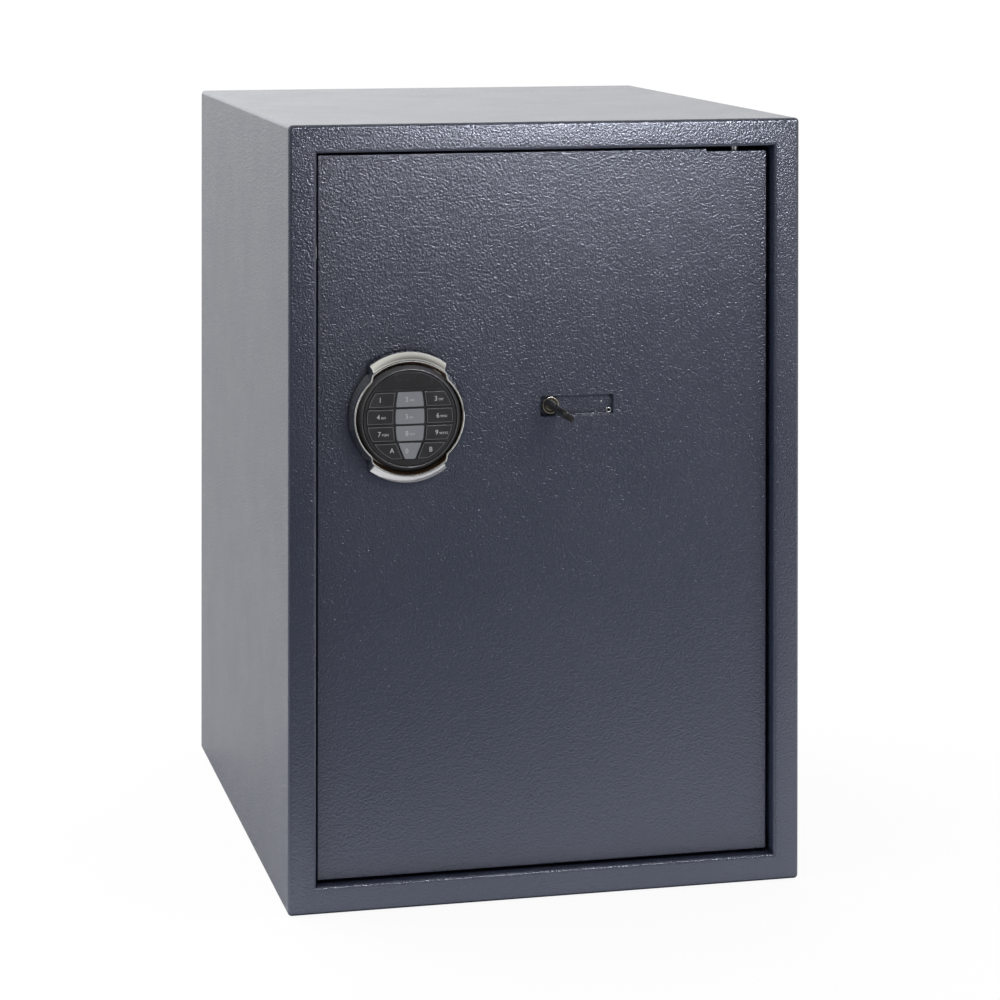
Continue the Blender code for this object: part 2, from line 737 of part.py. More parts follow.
def key_outlines(grow=0):
    """Each key's name and outline on the keypad, relative to the keypad's centre."""
    outlines = {}
    rows = (("1", "2", "3"), ("4", "5", "6"), ("7", "8", "9"), ("a", "0", "b"))
    for row, names in enumerate(rows):
        high = KEY_TOP - row * KEY_PITCH
        low = KEY_FOOT if row == 3 else high - KEY_HEIGHT
        inner = foot_key_side if row == 3 else middle_half_width
        for column, name in zip((-1, 0, 1), names):
            if column:
                outlines["key_" + name] = side_key(low, high, inner, column, grow)
                continue
            heights = [low - grow, (low + high) / 2, high + grow]
            right = [(inner(z) + grow, z) for z in heights]
            outlines["key_" + name] = right + [(-x, z) for x, z in reversed(right)]
    return outlines


def window_outline(grow):
    """A window over the keys: straight head and foot, and ends that follow the plate's edge."""
    radius = WINDOW_RADIUS + grow
    low = math.asin((WINDOW_FOOT - grow) / radius)
    high = math.asin((WINDOW_HEAD + grow) / radius)
    return arc((0, 0), radius, low, high, 6) + arc((0, 0), radius, math.pi - high, math.pi - low, 6)


def on_keypad(outline):
    return [(RING_X + x, RING_Z + z) for x, z in outline]


def make_keypad(door):
    """The keypad's housing, face plate, window and the hollow stem that carries them."""
    centre = (RING_X, RING_Z)
    seat = PLATE_RADIUS + GAP
    ledge = PLATE_FRONT - PLATE_THICKNESS - GAP
    wall = MM
    profile = [
        (5 * MM, BEZEL_BACK),
        (BEZEL_RADIUS, BEZEL_BACK),
        (BEZEL_RADIUS, 8.6 * MM),
        (BEZEL_RADIUS - 0.5 * MM, 9.4 * MM),
        (seat + wall, PLATE_FRONT + 0.3 * MM),
        (seat + 0.4 * MM, PLATE_FRONT + 0.5 * MM),
        (seat, PLATE_FRONT + 0.1 * MM),
        (seat, ledge),
        (seat - 4 * MM, ledge),
        (seat - 4 * MM, BEZEL_BACK + wall),
        (5 * MM, BEZEL_BACK + wall),
    ]
    bezel = [(radius, DOOR_Y - proud) for radius, proud in profile]
    add_piece("keypad_bezel", turned("Y", centre, bezel, 64), "black_plastic", door)
    front = DOOR_Y - PLATE_FRONT
    plate = rod("Y", centre, PLATE_RADIUS, front, front + PLATE_THICKNESS, 64)
    outlines = key_outlines(GAP).values()
    tools = [prism("Y", on_keypad(outline), front - MM, front + KEY_POCKET) for outline in outlines]
    tools.append(prism("Y", on_keypad(window_outline(GAP)), front - MM, front + MM + GAP))
    add_piece("keypad_plate", cut(plate, *tools), "black_plastic", door)
    window = prism("Y", on_keypad(window_outline(0)), front, front + MM)
    add_piece("keypad_window", window, "smoked_plastic", door)
    stem = tube("Y", centre, 4 * MM, STEM_RADIUS, DOOR_Y - BEZEL_BACK + GAP, TRAY_INSIDE - GAP)
    add_piece("keypad_stem", stem, "zinc", door)


def make_keys(door):
    """Twelve keys, each in its own pocket and pressed straight in."""
    front = DOOR_Y - PLATE_FRONT - KEY_PROUD
    for name, outline in key_outlines().items():
        centre_x = sum(x for x, _ in outline) / len(outline)
        centre_z = sum(z for _, z in outline) / len(outline)
        pivot = make_pivot(name + "_pivot", (RING_X + centre_x, front, RING_Z + centre_z), door)
        middle = name in ("key_2", "key_5", "key_8", "key_0")
        finish = "grey_plastic" if middle else "black_plastic"
        add_piece(name, prism("Y", on_keypad(outline), front, front + KEY_DEPTH), finish, pivot)


# ---------------------------------------------------------------- emergency lock


def tilted(points, centre, angle):
    """Points turned about a centre."""
    cosine = math.cos(angle)
    sine = math.sin(angle)
    return [(centre[0] + x * cosine - z * sine, centre[1] + x * sine + z * cosine) for x, z in points]


def slab(half_width, half_height):
    corners = ((-1, -1), (1, -1), (1, 1), (-1, 1))
    return [(x * half_width, z * half_height) for x, z in corners]


def make_lock(door, plug, key):
    """Barrel, nut, turning plug, cam and the key with its moulded bow."""
    centre = (LOCK_X, LOCK_Z)
    floor = DOOR_Y + RECESS_DEPTH
    bore = PLUG_RADIUS + GAP
    barrel = [
        (bore, floor - MM),
        (LOCK_FLANGE_RADIUS - 0.4 * MM, floor - MM),
        (LOCK_FLANGE_RADIUS, floor - GAP),
        (LOCK_BODY_RADIUS, floor - GAP),
        (LOCK_BODY_RADIUS, DOOR_Y + 28.5 * MM),
        (bore, DOOR_Y + 28.5 * MM),
    ]
    add_piece("lock_barrel", turned("Y", centre, barrel), "brass", door)
    nut = prism("Y", circle(centre, 9.5 * MM, 6), TRAY_FRONT, TRAY_FRONT + 3 * MM)
    hole = rod("Y", centre, LOCK_BODY_RADIUS + GAP, TRAY_FRONT - MM, TRAY_FRONT + 4 * MM)
    add_piece("lock_nut", cut(nut, hole), "zinc", door)
    body = rod("Y", centre, PLUG_RADIUS, floor - 1.5 * MM, DOOR_Y + 29 * MM, 32)
    keyway_outline = tilted(slab(3.4 * MM, 0.9 * MM), centre, KEY_TILT)
    keyway = prism("Y", keyway_outline, floor - 3 * MM, DOOR_Y + 24 * MM)
    add_piece("lock_plug", cut(body, keyway), "brass", plug)
    cam_outline = tilted(arc((0, 0), 6 * MM, math.pi / 2, 1.5 * math.pi, 8), centre, 0)
    cam_outline += tilted(arc((10 * MM, 0), 4 * MM, -math.pi / 2, math.pi / 2, 8), centre, 0)
    cam = prism("Y", cam_outline, DOOR_Y + 29.3 * MM, DOOR_Y + 32 * MM)
    add_piece("lock_cam", cam, "zinc", plug)
    blade_front = DOOR_Y - BOW_FOOT + GAP
    blade = prism("Y", tilted(slab(3 * MM, 0.6 * MM), centre, KEY_TILT), blade_front, DOOR_Y + 23 * MM)
    add_piece("key_blade", blade, "steel", key)
    make_key_bow(key)


def bow_sections():
    """The bow's distance from its foot, half width and half thickness at each section."""
    width = BOW_HALF_WIDTH
    thickness = BOW_HALF_THICKNESS
    return (
        (0, width - 2.5 * MM, thickness - 0.6 * MM),
        (2.5 * MM, width, thickness),
        (BOW_LENGTH - 7 * MM, width - MM, thickness - 0.5 * MM),
        (BOW_LENGTH - 2 * MM, width - 2.6 * MM, thickness - 0.7 * MM),
        (BOW_LENGTH, width - 4.6 * MM, thickness - 1.2 * MM),
    )


def make_key_bow(key):
    """A long flat moulded grip with chamfered edges and a hole for a key ring."""
    rings = []
    for out, width, thickness in bow_sections():
        chamfer = thickness * 0.45
        quarter = ((width, thickness - chamfer), (width - chamfer, thickness))
        outline = [*quarter, *[(-x, z) for x, z in reversed(quarter)]]
        outline += [(-x, -z) for x, z in outline]
        rings.append([in_space("Y", (LOCK_X + x, LOCK_Z + z), DOOR_Y - BOW_FOOT - out) for x, z in outline])
    hole_place = (LOCK_X, DOOR_Y - BOW_FOOT - BOW_LENGTH + 8 * MM)
    reach = BOW_HALF_THICKNESS + MM
    hole = rod("Z", hole_place, 2.2 * MM, LOCK_Z - reach, LOCK_Z + reach, 16)
    shape = cut(skin(rings, False), hole)
    centre = Vector((LOCK_X, 0, LOCK_Z))
    turn = Matrix.Rotation(-KEY_TILT, 3, "Y")
    bmesh.ops.rotate(shape, cent=centre, matrix=turn, verts=shape.verts)
    add_piece("key_bow", shape, "black_plastic", key)


# ---------------------------------------------------------------- electronics on the door


def make_batteries(door, cover):
    low = (24 * MM, DOOR_Y + 15.5 * MM, 120 * MM)
    high = (96 * MM, TRAY_INSIDE - 2.5 * MM, 190 * MM)
    wall = 2 * MM
    holder = block(low, high)
    hollow = block([a + wall for a in low], (high[0] - wall, high[1] + MM, high[2] - wall))
    add_piece("battery_holder", cut(holder, hollow), "black_plastic", door)
    centre_z = (low[2] + high[2]) / 2
    for index in range(4):
        x = low[0] + 10.5 * MM + 17 * MM * index
        y = low[1] + wall + GAP + BATTERY_RADIUS
        foot = centre_z - BATTERY_LENGTH / 2
        profile = [
            (0, foot),
            (BATTERY_RADIUS, foot),
            (BATTERY_RADIUS, foot + BATTERY_LENGTH - 1.2 * MM),
            (2.7 * MM, foot + BATTERY_LENGTH - 1.2 * MM),
            (2.7 * MM, foot + BATTERY_LENGTH),
            (0, foot + BATTERY_LENGTH),
        ]
        add_piece("battery_" + str(index + 1), turned("Z", (x, y), profile, 20), "battery_wrap", door)
    lid_outline = rounded_rectangle((16 * MM, 112 * MM), (104 * MM, 198 * MM), 3 * MM)
    lid = prism("Y", lid_outline, TRAY_BACK + GAP, TRAY_BACK + 2.1 * MM)
    add_piece("battery_cover", lid, "black_plastic", cover)


def make_circuit_board(door, button):
    front = TRAY_FRONT + 8 * MM
    board = block((20 * MM, front, 225 * MM), (100 * MM, front + 1.6 * MM, 335 * MM))
    posts = [
        rod("Y", (x, z), 2.5 * MM, TRAY_FRONT, front + 0.8 * MM, 12)
        for x in (26 * MM, 94 * MM)
        for z in (231 * MM, 329 * MM)
    ]
    add_piece("circuit_board", join(board, *posts), "green_board", door)
    profile = [
        (0, front + 4 * MM),
        (2 * MM, front + 4 * MM),
        (2 * MM, TRAY_INSIDE - 3.5 * MM),
        (5.5 * MM, TRAY_INSIDE - 3.5 * MM),
        (5.5 * MM, TRAY_INSIDE - 2 * MM),
        (4 * MM, TRAY_INSIDE - 2 * MM),
        (4 * MM, TRAY_BACK + 2 * MM),
        (3.4 * MM, TRAY_BACK + 2.6 * MM),
        (0, TRAY_BACK + 2.6 * MM),
    ]
    add_piece("reset_button", turned("Y", (95 * MM, 300 * MM), profile, 20), "red_plastic", button)


def build():
    clear_scene()
    door = make_pivot("door_pivot", (HINGE_X, HINGE_Y, BODY_HEIGHT / 2))
    ring = make_pivot("ring_pivot", (RING_X, DOOR_Y, RING_Z), door)
    carriage = make_pivot("carriage_pivot", (CARRIAGE_X, BOLT_Y, BODY_HEIGHT / 2), door)
    plunger = make_pivot("plunger_pivot", (PLUNGER_X, PLUNGER_Y, PLUNGER_FOOT), door)
    plug = make_pivot("plug_pivot", (LOCK_X, DOOR_Y, LOCK_Z), door)
    key = make_pivot("key_pivot", (LOCK_X, DOOR_Y - 2 * MM, LOCK_Z), plug)
    cover = make_pivot("cover_pivot", (60 * MM, TRAY_BACK, 155 * MM), door)
    button = make_pivot("button_pivot", (95 * MM, TRAY_BACK, 300 * MM), door)
    make_body_shell()
    make_back_panel()
    make_shelf()
    make_floor_mat()
    make_hinge_plates()
    make_door_plate(door)
    make_door_tray(door)
    make_tray_screws(door)
    make_hinge_leaves(door)
    make_turn_ring(ring)
    make_spindle(door, ring)
    make_bolts(carriage)
    make_bolt_guide(door)
    make_solenoid(door, plunger)
    make_keypad(door)
    make_keys(door)
    make_lock(door, plug, key)
    make_batteries(door, cover)
    make_circuit_board(door, button)


build()
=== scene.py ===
"""Looks for the in-room safe: fine surfaces, materials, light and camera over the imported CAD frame.

Metres, +Z up, the door faces -Y. Every place comes from the frame's own boxes and joints.
"""

import json
import math

import bmesh
import bpy
from mathutils import Matrix, Vector


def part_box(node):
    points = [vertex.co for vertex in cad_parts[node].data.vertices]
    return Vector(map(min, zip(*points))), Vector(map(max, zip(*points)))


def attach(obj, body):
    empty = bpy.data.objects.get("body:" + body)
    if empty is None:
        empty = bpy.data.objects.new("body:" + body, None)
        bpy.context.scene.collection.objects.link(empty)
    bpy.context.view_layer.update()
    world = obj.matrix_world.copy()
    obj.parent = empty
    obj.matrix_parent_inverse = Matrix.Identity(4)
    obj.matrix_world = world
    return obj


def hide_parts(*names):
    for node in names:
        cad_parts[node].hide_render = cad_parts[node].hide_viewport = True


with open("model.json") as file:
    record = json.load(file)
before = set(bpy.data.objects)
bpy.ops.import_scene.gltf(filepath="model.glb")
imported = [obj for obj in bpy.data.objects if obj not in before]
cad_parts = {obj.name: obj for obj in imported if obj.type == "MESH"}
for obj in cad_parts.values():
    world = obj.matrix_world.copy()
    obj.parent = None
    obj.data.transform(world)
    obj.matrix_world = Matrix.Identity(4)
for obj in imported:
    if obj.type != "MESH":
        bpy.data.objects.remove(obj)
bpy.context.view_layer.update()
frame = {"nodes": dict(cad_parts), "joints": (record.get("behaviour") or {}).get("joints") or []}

MM = 0.001
JOINTS = {joint["name"]: joint for joint in frame["joints"]}

# -------------------- places, read from the frame

SHELL_LOW, SHELL_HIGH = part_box("body_shell")
DOOR_LOW, DOOR_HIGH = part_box("door_plate")
RING_LOW, RING_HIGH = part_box("turn_ring")
PLATE_LOW, PLATE_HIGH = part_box("keypad_plate")
HINGE = Vector(JOINTS["door_swing"]["pos_m"])
RING = Vector(JOINTS["ring_turn"]["pos_m"])
LOCK = Vector(JOINTS["key_turn"]["pos_m"])
FRONT_Y = SHELL_LOW.y
DOOR_Y = DOOR_LOW.y
RING_X = RING.x
RING_Z = RING.z
RING_CENTRE = (RING_X, RING_Z)

# -------------------- sizes of the fine surfaces

SHEET = 2 * MM
FRAME_WIDTH = 20 * MM
LIP_DEPTH = 26 * MM
FRAME_CROWN = 1.7 * MM
OUTER_BEND = 3 * MM
INNER_BEND = 2.6 * MM
ANCHOR_X = 110 * MM
ANCHOR_Y = 120 * MM
ANCHOR_RADIUS = 6 * MM
HINGE_HOLE = 3.3 * MM
DOOR_EDGE = 0.9 * MM
RELIEF_WIDTH = 46 * MM
RELIEF_STEP = 2 * MM
SPINDLE_HOLE = 10.4 * MM
SCREW_HOLE = 2.3 * MM
SCREW_DEPTH = 3.5 * MM
BACK_SEAL = 0.8 * MM

RIM_RADIUS = 40.3 * MM
RING_BASE_RADIUS = 42.3 * MM
EAR_RIM_RADIUS = 41.7 * MM
EAR_BASE_RADIUS = 46.8 * MM
EAR_WALL = 7.2 * MM
SHOULDER_RADIUS = 41.2 * MM
RIM_BEVEL = 4 * MM
RIM_BEAD = 0.75 * MM
RIM_WAIST = 1.3 * MM
EAR_ANGLE = math.radians(36.7)
EAR_END_ANGLE = math.radians(41.5)
RIM_EAR_ANGLE = math.radians(39.5)
RIM_NECK_ANGLE = math.radians(47)
BOWL_RADIUS = 38.3 * MM
SPINDLE_BORE = 7.2 * MM
RING_FOOT = 0.3 * MM
RING_PROUD = DOOR_Y - RING_LOW.y

BEZEL_RADIUS = 37.9 * MM
PLATE_RADIUS = 33.9 * MM
PLATE_FRONT = DOOR_Y - PLATE_LOW.y
KEY_FRONT = PLATE_FRONT + 0.6 * MM
KEY_FIELD_RADIUS = 31.4 * MM
KEY_TOP = 19 * MM
KEY_PITCH = 12.1 * MM
KEY_HEIGHT = 10.6 * MM
KEY_FOOT = -28.7 * MM
KEY_SPACE = 1.5 * MM
KEY_CORNER = 0.9 * MM
MIDDLE_KEY_HALF = 10.5 * MM
MIDDLE_KEY_CURVE = 204 * MM
FOOT_KEY_HEAD = 8.4 * MM
FOOT_KEY_TAIL = 3.7 * MM
WINDOW_FOOT = 21.6 * MM
WINDOW_HEAD = 31.4 * MM
WINDOW_RADIUS = 32.6 * MM
WINDOW_GAP = 0.08 * MM
LINE_WIDTH = 0.32 * MM
DIGIT_SIZE = 4.8 * MM
LETTER_SIZE = 2.2 * MM
DIGIT_SQUEEZE = 0.98
LETTER_SQUEEZE = 0.95
TEXT_WEIGHT = 0.012
TEXT_RISE = 0.04 * MM

LOCK_CENTRE = (LOCK.x, LOCK.z)
LOCK_HOLE = 6 * MM
KEY_TILT = math.radians(-42)
KEY_OVERHANG = 8 * MM
RECESS_LOW = (LOCK.x - 8.3 * MM, LOCK.z - 7.3 * MM)
RECESS_HIGH = (LOCK.x + 46.3 * MM, LOCK.z + 7 * MM)
RECESS_DEPTH = 3 * MM
RECESS_FLOOR = DOOR_Y + RECESS_DEPTH
RECESS_HOLE = (LOCK.x + 43.6 * MM, LOCK.z - 4.9 * MM)
RECESS_DIMPLE = (LOCK.x + 37.9 * MM, LOCK.z + 2 * MM)

# -------------------- mesh helpers


def across_y(outline, y):
    """An outline's points at one place along the Y axis."""
    return [Vector((x, y, z)) for x, z in outline]


def skin(rings, closed):
    """Close the space between rings of points, which all hold the same number of points."""
    shape = bmesh.new()
    rows = [[shape.verts.new(point) for point in ring] for ring in rings]
    pairs = list(zip(rows, rows[1:] + rows[:1])) if closed else list(zip(rows, rows[1:]))
    for lower, upper in pairs:
        for i in range(len(lower)):
            j = (i + 1) % len(lower)
            shape.faces.new((lower[i], lower[j], upper[j], upper[i]))
    if not closed:
        shape.faces.new(rows[0])
        shape.faces.new(rows[-1])
    tidy(shape)
    return shape


def tidy(shape):
    """Merge coincident points and turn all faces outwards."""
    bmesh.ops.remove_doubles(shape, verts=shape.verts, dist=0.001 * MM)
    bmesh.ops.dissolve_degenerate(shape, edges=shape.edges, dist=0.001 * MM)
    loose = [edge for edge in shape.edges if edge.is_wire]
    bmesh.ops.delete(shape, geom=loose, context="EDGES")
    bmesh.ops.recalc_face_normals(shape, faces=shape.faces)


def prism(axis, outline, start, end):
    """A block with the same outline all along the Y or the Z axis."""
    if axis == "Y":
        return skin([across_y(outline, y) for y in (start, end)], False)
    return skin([[Vector((x, y, z)) for x, y in outline] for z in (start, end)], False)


def arc(centre, radius, start, end, steps):
    """Points on an arc, both ends included."""
    angles = [start + (end - start) * i / steps for i in range(steps + 1)]
    return [(centre[0] + radius * math.cos(a), centre[1] + radius * math.sin(a)) for a in angles]


def circle(centre, radius, sides):
    return arc(centre, radius, 0, 2 * math.pi, sides)[:-1]


def in_mm(points, start=0):
    """A section given in millimetres, with its heights counted from a start in metres."""
    return [(radius * MM, start + height * MM) for radius, height in points]


def rounded_rectangle(low, high, radius, steps=6):
    """A rectangle's outline with rounded corners, anticlockwise from its right-hand foot."""
    left = low[0] + radius
    right = high[0] - radius
    foot = low[1] + radius
    head = high[1] - radius
    corners = [(right, foot, -0.5), (right, head, 0), (left, head, 0.5), (left, foot, 1)]
    points = []
    for x, z, quarter in corners:
        start = quarter * math.pi
        points += arc((x, z), radius, start, start + math.pi / 2, steps)
    return points


def turned(centre, profile, sides=64):
    """Turn a closed profile of (radius, place along Y) pairs about an axis along Y."""
    return skin([across_y(circle(centre, radius, sides), y) for radius, y in profile], True)


def softened(profile, radius, steps=4):
    """A closed profile with each sharp corner rounded off, except at the axis."""
    points = []
    for i, point in enumerate(profile):
        here = Vector(point)
        back = Vector(profile[i - 1]) - here
        ahead = Vector(profile[(i + 1) % len(profile)]) - here
        corner = back.length > 1e-9 and ahead.length > 1e-9
        if here.x < 1e-7 or not corner or math.pi - back.angle(ahead) < math.radians(20):
            points.append(tuple(here))
            continue
        reach = min(radius, back.length * 0.45, ahead.length * 0.45)
        start = here + back.normalized() * reach
        end = here + ahead.normalized() * reach
        for step in range(steps + 1):
            t = step / steps
            points.append(tuple(start * (1 - t) ** 2 + here * (2 * t * (1 - t)) + end * t**2))
    return points


def inset(outline, distance):
    """A convex outline moved inwards by a distance (outwards where negative)."""
    area = sum(a[0] * b[1] - b[0] * a[1] for a, b in zip(outline, outline[1:] + outline[:1]))
    sign = 1 if area > 0 else -1
    moved = []
    for i, corner in enumerate(outline):
        here = Vector(corner)
        back = (here - Vector(outline[i - 1])).normalized()
        ahead = (Vector(outline[(i + 1) % len(outline)]) - here).normalized()
        inward_back = Vector((-back.y, back.x)) * sign
        inward_ahead = Vector((-ahead.y, ahead.x)) * sign
        middle = inward_back + inward_ahead
        if middle.length < 1e-9:
            moved.append(tuple(here + inward_back * distance))
            continue
        middle.normalize()
        moved.append(tuple(here + middle * (distance / max(middle.dot(inward_back), 0.35))))
    return moved


def helper_object(name, shape):
    mesh = bpy.data.meshes.new(name)
    shape.to_mesh(mesh)
    shape.free()
    helper = bpy.data.objects.new(name, mesh)
    bpy.context.scene.collection.objects.link(helper)
    return helper


def evaluated(body, helpers=()):
    """The shape that an object's modifiers give. The object and its helpers are then removed."""
    result = bmesh.new()
    result.from_object(body, bpy.context.evaluated_depsgraph_get())
    for item in (body, *helpers):
        bpy.data.objects.remove(item, do_unlink=True)
    return result


def cut(shape, tools):
    """Cut the tools from a shape."""
    body = helper_object("boolean_body", shape)
    helpers = [helper_object("boolean_tool", tool) for tool in tools]
    for helper in helpers:
        modifier = body.modifiers.new("boolean", "BOOLEAN")
        modifier.operation = "DIFFERENCE"
        modifier.solver = "EXACT"
        modifier.object = helper
    return evaluated(body, helpers)


def add_bevel(item, width, segments):
    """Round an object's sharp edges."""
    bevel = item.modifiers.new("bevel", "BEVEL")
    bevel.width = width
    bevel.segments = segments
    bevel.limit_method = "ANGLE"
    bevel.angle_limit = math.radians(35)


def add_piece(name, shape, finish, body, replaces=None, look=None, sharp=40):
    """Make a shown piece from a shape, on the CAD body it moves with and in place of a CAD node."""
    tidy(shape)
    mesh = bpy.data.meshes.new(name)
    shape.to_mesh(mesh)
    shape.free()
    mesh.shade_smooth()
    mesh.set_sharp_from_angle(angle=math.radians(sharp))
    mesh.materials.append(look or LOOKS[finish])
    piece = bpy.data.objects.new(name, mesh)
    bpy.context.scene.collection.objects.link(piece)
    normals = piece.modifiers.new("weighted_normals", "WEIGHTED_NORMAL")
    normals.keep_sharp = True
    normals.weight = 100
    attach(piece, body)
    if replaces:
        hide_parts(replaces)
    return piece


# -------------------- materials

PEEL_DEPTH = 0.54 * MM
PAINT_DARK = (0.045, 0.058, 0.105)
PAINT_LIGHT = (0.052, 0.065, 0.114)
PAINT_FLECK = (0.076, 0.089, 0.135)
# Painted shade: the paint's colour in creases, recesses and gaps.
PAINT_SHADE_IN_CREASES = (0.016, 0.019, 0.032)


class Nodes:
    """A small helper that adds nodes to a material or a world and wires them."""

    def __init__(self, owner, shader="Principled BSDF", space="Object"):
        self.owner = owner
        owner.use_nodes = True
        self.tree = owner.node_tree
        self.shader = self.tree.nodes[shader]
        self.place = self.add("TexCoord").outputs[space]

    def feed(self, socket, value):
        """Set a socket to a number, a vector or a colour, or link another node's output to it."""
        if isinstance(value, tuple):
            socket.default_value = (*value, 1) if socket.type == "RGBA" else value
        elif isinstance(value, (int, float)):
            socket.default_value = value
        else:
            self.tree.links.new(value, socket)

    def add(self, kind, inputs=None, **settings):
        """A new node with its settings, and some of its inputs fed."""
        node = self.tree.nodes.new("ShaderNode" + kind)
        for name, value in settings.items():
            setattr(node, name, value)
        for name, value in (inputs or {}).items():
            self.feed(node.inputs[name], value)
        return node

    def stretched(self, scale):
        """The object's coordinates, scaled differently along its axes."""
        return self.add("Mapping", {"Vector": self.place, "Scale": scale}).outputs["Vector"]

    def noise(self, scale, detail=3.0, roughness=0.5, place=None, distortion=0.0):
        inputs = {"Scale": scale, "Detail": detail, "Roughness": roughness, "Distortion": distortion}
        return self.add("TexNoise", {"Vector": place or self.place, **inputs}).outputs["Fac"]

    def cells(self, scale, place=None):
        return self.add("TexVoronoi", {"Vector": place or self.place, "Scale": scale}).outputs["Distance"]

    def ramp(self, value, low, high, start=0.0, end=1.0):
        """A value mapped smoothly from low..high onto start..end."""
        limits = {"From Min": low, "From Max": high, "To Min": start, "To Max": end}
        node = self.add("MapRange", {"Value": value, **limits}, interpolation_type="SMOOTHSTEP")
        return node.outputs["Result"]

    def openness(self, reach):
        """One on open surfaces, less in creases and along gaps narrower than the reach."""
        return self.add("AmbientOcclusion", {"Distance": reach}, samples=4).outputs["AO"]

    def along(self, axis):
        """The coordinate along one axis."""
        return self.add("SeparateXYZ", {"Vector": self.place}).outputs[axis]

    def maths(self, operation, first, second=0):
        node = self.add("Math", operation=operation)
        self.feed(node.inputs[0], first)
        self.feed(node.inputs[1], second)
        return node.outputs["Value"]

    def mix(self, share, first, second):
        """A colour between two others."""
        node = self.add("Mix", {"Factor": share}, data_type="RGBA")
        sockets = [s for s in node.inputs if s.type == "RGBA"]
        self.feed(sockets[0], first)
        self.feed(sockets[1], second)
        return next(s for s in node.outputs if s.type == "RGBA")

    def bump(self, height, strength, distance, normal=None):
        inputs = {"Height": height, "Strength": strength, "Distance": distance}
        if normal:
            inputs["Normal"] = normal
        return self.add("Bump", inputs).outputs["Normal"]

    def seen(self):
        """One for the camera's own rays, nought for all others."""
        return self.add("LightPath").outputs["Is Camera Ray"]

    def set(self, name, value):
        self.feed(self.shader.inputs[name], value)


def surface(name):
    """The nodes of a new material."""
    return Nodes(bpy.data.materials.new(name))


def paint_material():
    """Dark slate-blue powder coat: a coarse leathery orange peel under a clear satin skin, with painted
    shade that darkens it and dulls its gloss in creases, recesses and gaps.
    """
    nodes = surface("slate_paint_looks")
    tone = nodes.mix(nodes.ramp(nodes.noise(9, 4), 0.3, 0.7), PAINT_DARK, PAINT_LIGHT)
    fleck = nodes.ramp(nodes.noise(1500, 2), 0.62, 0.72)
    # Painted shade from ambient occlusion: creases, recesses and gaps turn darker and lose coat and specular
    # gloss.
    shade_in_creases = nodes.ramp(nodes.openness(3.5 * MM), 0.42, 0.9)
    nodes.set("Base Color", nodes.mix(shade_in_creases, PAINT_SHADE_IN_CREASES, nodes.mix(fleck, tone, PAINT_FLECK)))
    wear = nodes.noise(22, 5, 0.6)
    nodes.set("Roughness", nodes.ramp(wear, 0.3, 0.75, 0.33, 0.37))
    nodes.set("Specular IOR Level", nodes.maths("MULTIPLY", shade_in_creases, 0.5))
    peel = nodes.noise(640, 2, 0.45, distortion=0.4)
    grains = nodes.cells(800)
    height = nodes.maths("ADD", peel, nodes.maths("MULTIPLY", grains, 0.35))
    broad = nodes.bump(nodes.noise(45, 2), 0.12, 0.12 * MM)
    nodes.set("Normal", nodes.bump(height, 1.0, PEEL_DEPTH, broad))
    nodes.set("Coat Weight", nodes.maths("MULTIPLY", shade_in_creases, 0.5))
    nodes.set("Coat Roughness", nodes.ramp(wear, 0.3, 0.75, 0.22, 0.25))
    nodes.set("Coat Normal", nodes.bump(height, 1.0, PEEL_DEPTH * 0.6, broad))
    return nodes.owner


def black_paint_material():
    nodes = surface("black_paint_looks")
    nodes.set("Base Color", nodes.mix(nodes.noise(14, 4), (0.013, 0.014, 0.016), (0.022, 0.023, 0.026)))
    nodes.set("Roughness", nodes.ramp(nodes.noise(40, 4), 0.3, 0.7, 0.42, 0.55))
    nodes.set("Normal", nodes.bump(nodes.noise(900, 2), 0.35, 0.12 * MM))
    return nodes.owner


def chrome_material():
    nodes = surface("chrome_looks")
    nodes.set("Base Color", nodes.mix(nodes.noise(60, 3), (0.82, 0.82, 0.80), (0.90, 0.90, 0.88)))
    nodes.set("Metallic", 1.0)
    nodes.set("Roughness", nodes.ramp(nodes.noise(300, 4, 0.7), 0.55, 0.8, 0.035, 0.16))
    nodes.set("Normal", nodes.bump(nodes.noise(120, 2), 0.06, 0.1 * MM))
    return nodes.owner


def metal_material(name, dark, light, roughness, stretch, grain):
    """Plated or turned metal, with fine tool marks along the stretched axis."""
    nodes = surface(name + "_looks")
    lines = nodes.noise(grain, 3, 0.6, nodes.stretched(stretch))
    nodes.set("Base Color", nodes.mix(nodes.noise(70, 4), dark, light))
    nodes.set("Metallic", 1.0)
    nodes.set("Roughness", nodes.ramp(lines, 0.3, 0.7, *roughness))
    nodes.set("Normal", nodes.bump(lines, 0.18, 0.05 * MM))
    return nodes.owner


def plastic_material(name, dark, light, roughness, grain=3200, depth=0.03 * MM, coat=0.0):
    """Moulded plastic with a fine spark-eroded grain."""
    nodes = surface(name + "_looks")
    nodes.set("Base Color", nodes.mix(nodes.noise(50, 3), dark, light))
    nodes.set("Roughness", nodes.ramp(nodes.noise(90, 4), 0.3, 0.7, *roughness))
    nodes.set("Coat Weight", coat)
    nodes.set("Normal", nodes.bump(nodes.noise(grain, 2), 0.4, depth))
    return nodes.owner


def felt_material():
    nodes = surface("felt_looks")
    fibres = nodes.noise(1300, 5, 0.75, distortion=1.5)
    nodes.set("Base Color", nodes.mix(fibres, (0.012, 0.013, 0.015), (0.050, 0.052, 0.058)))
    nodes.set("Roughness", nodes.ramp(nodes.noise(200, 3), 0.3, 0.7, 0.88, 1.0))
    nodes.set("Sheen Weight", 0.5)
    nodes.set("Normal", nodes.bump(fibres, 0.8, 0.4 * MM))
    return nodes.owner


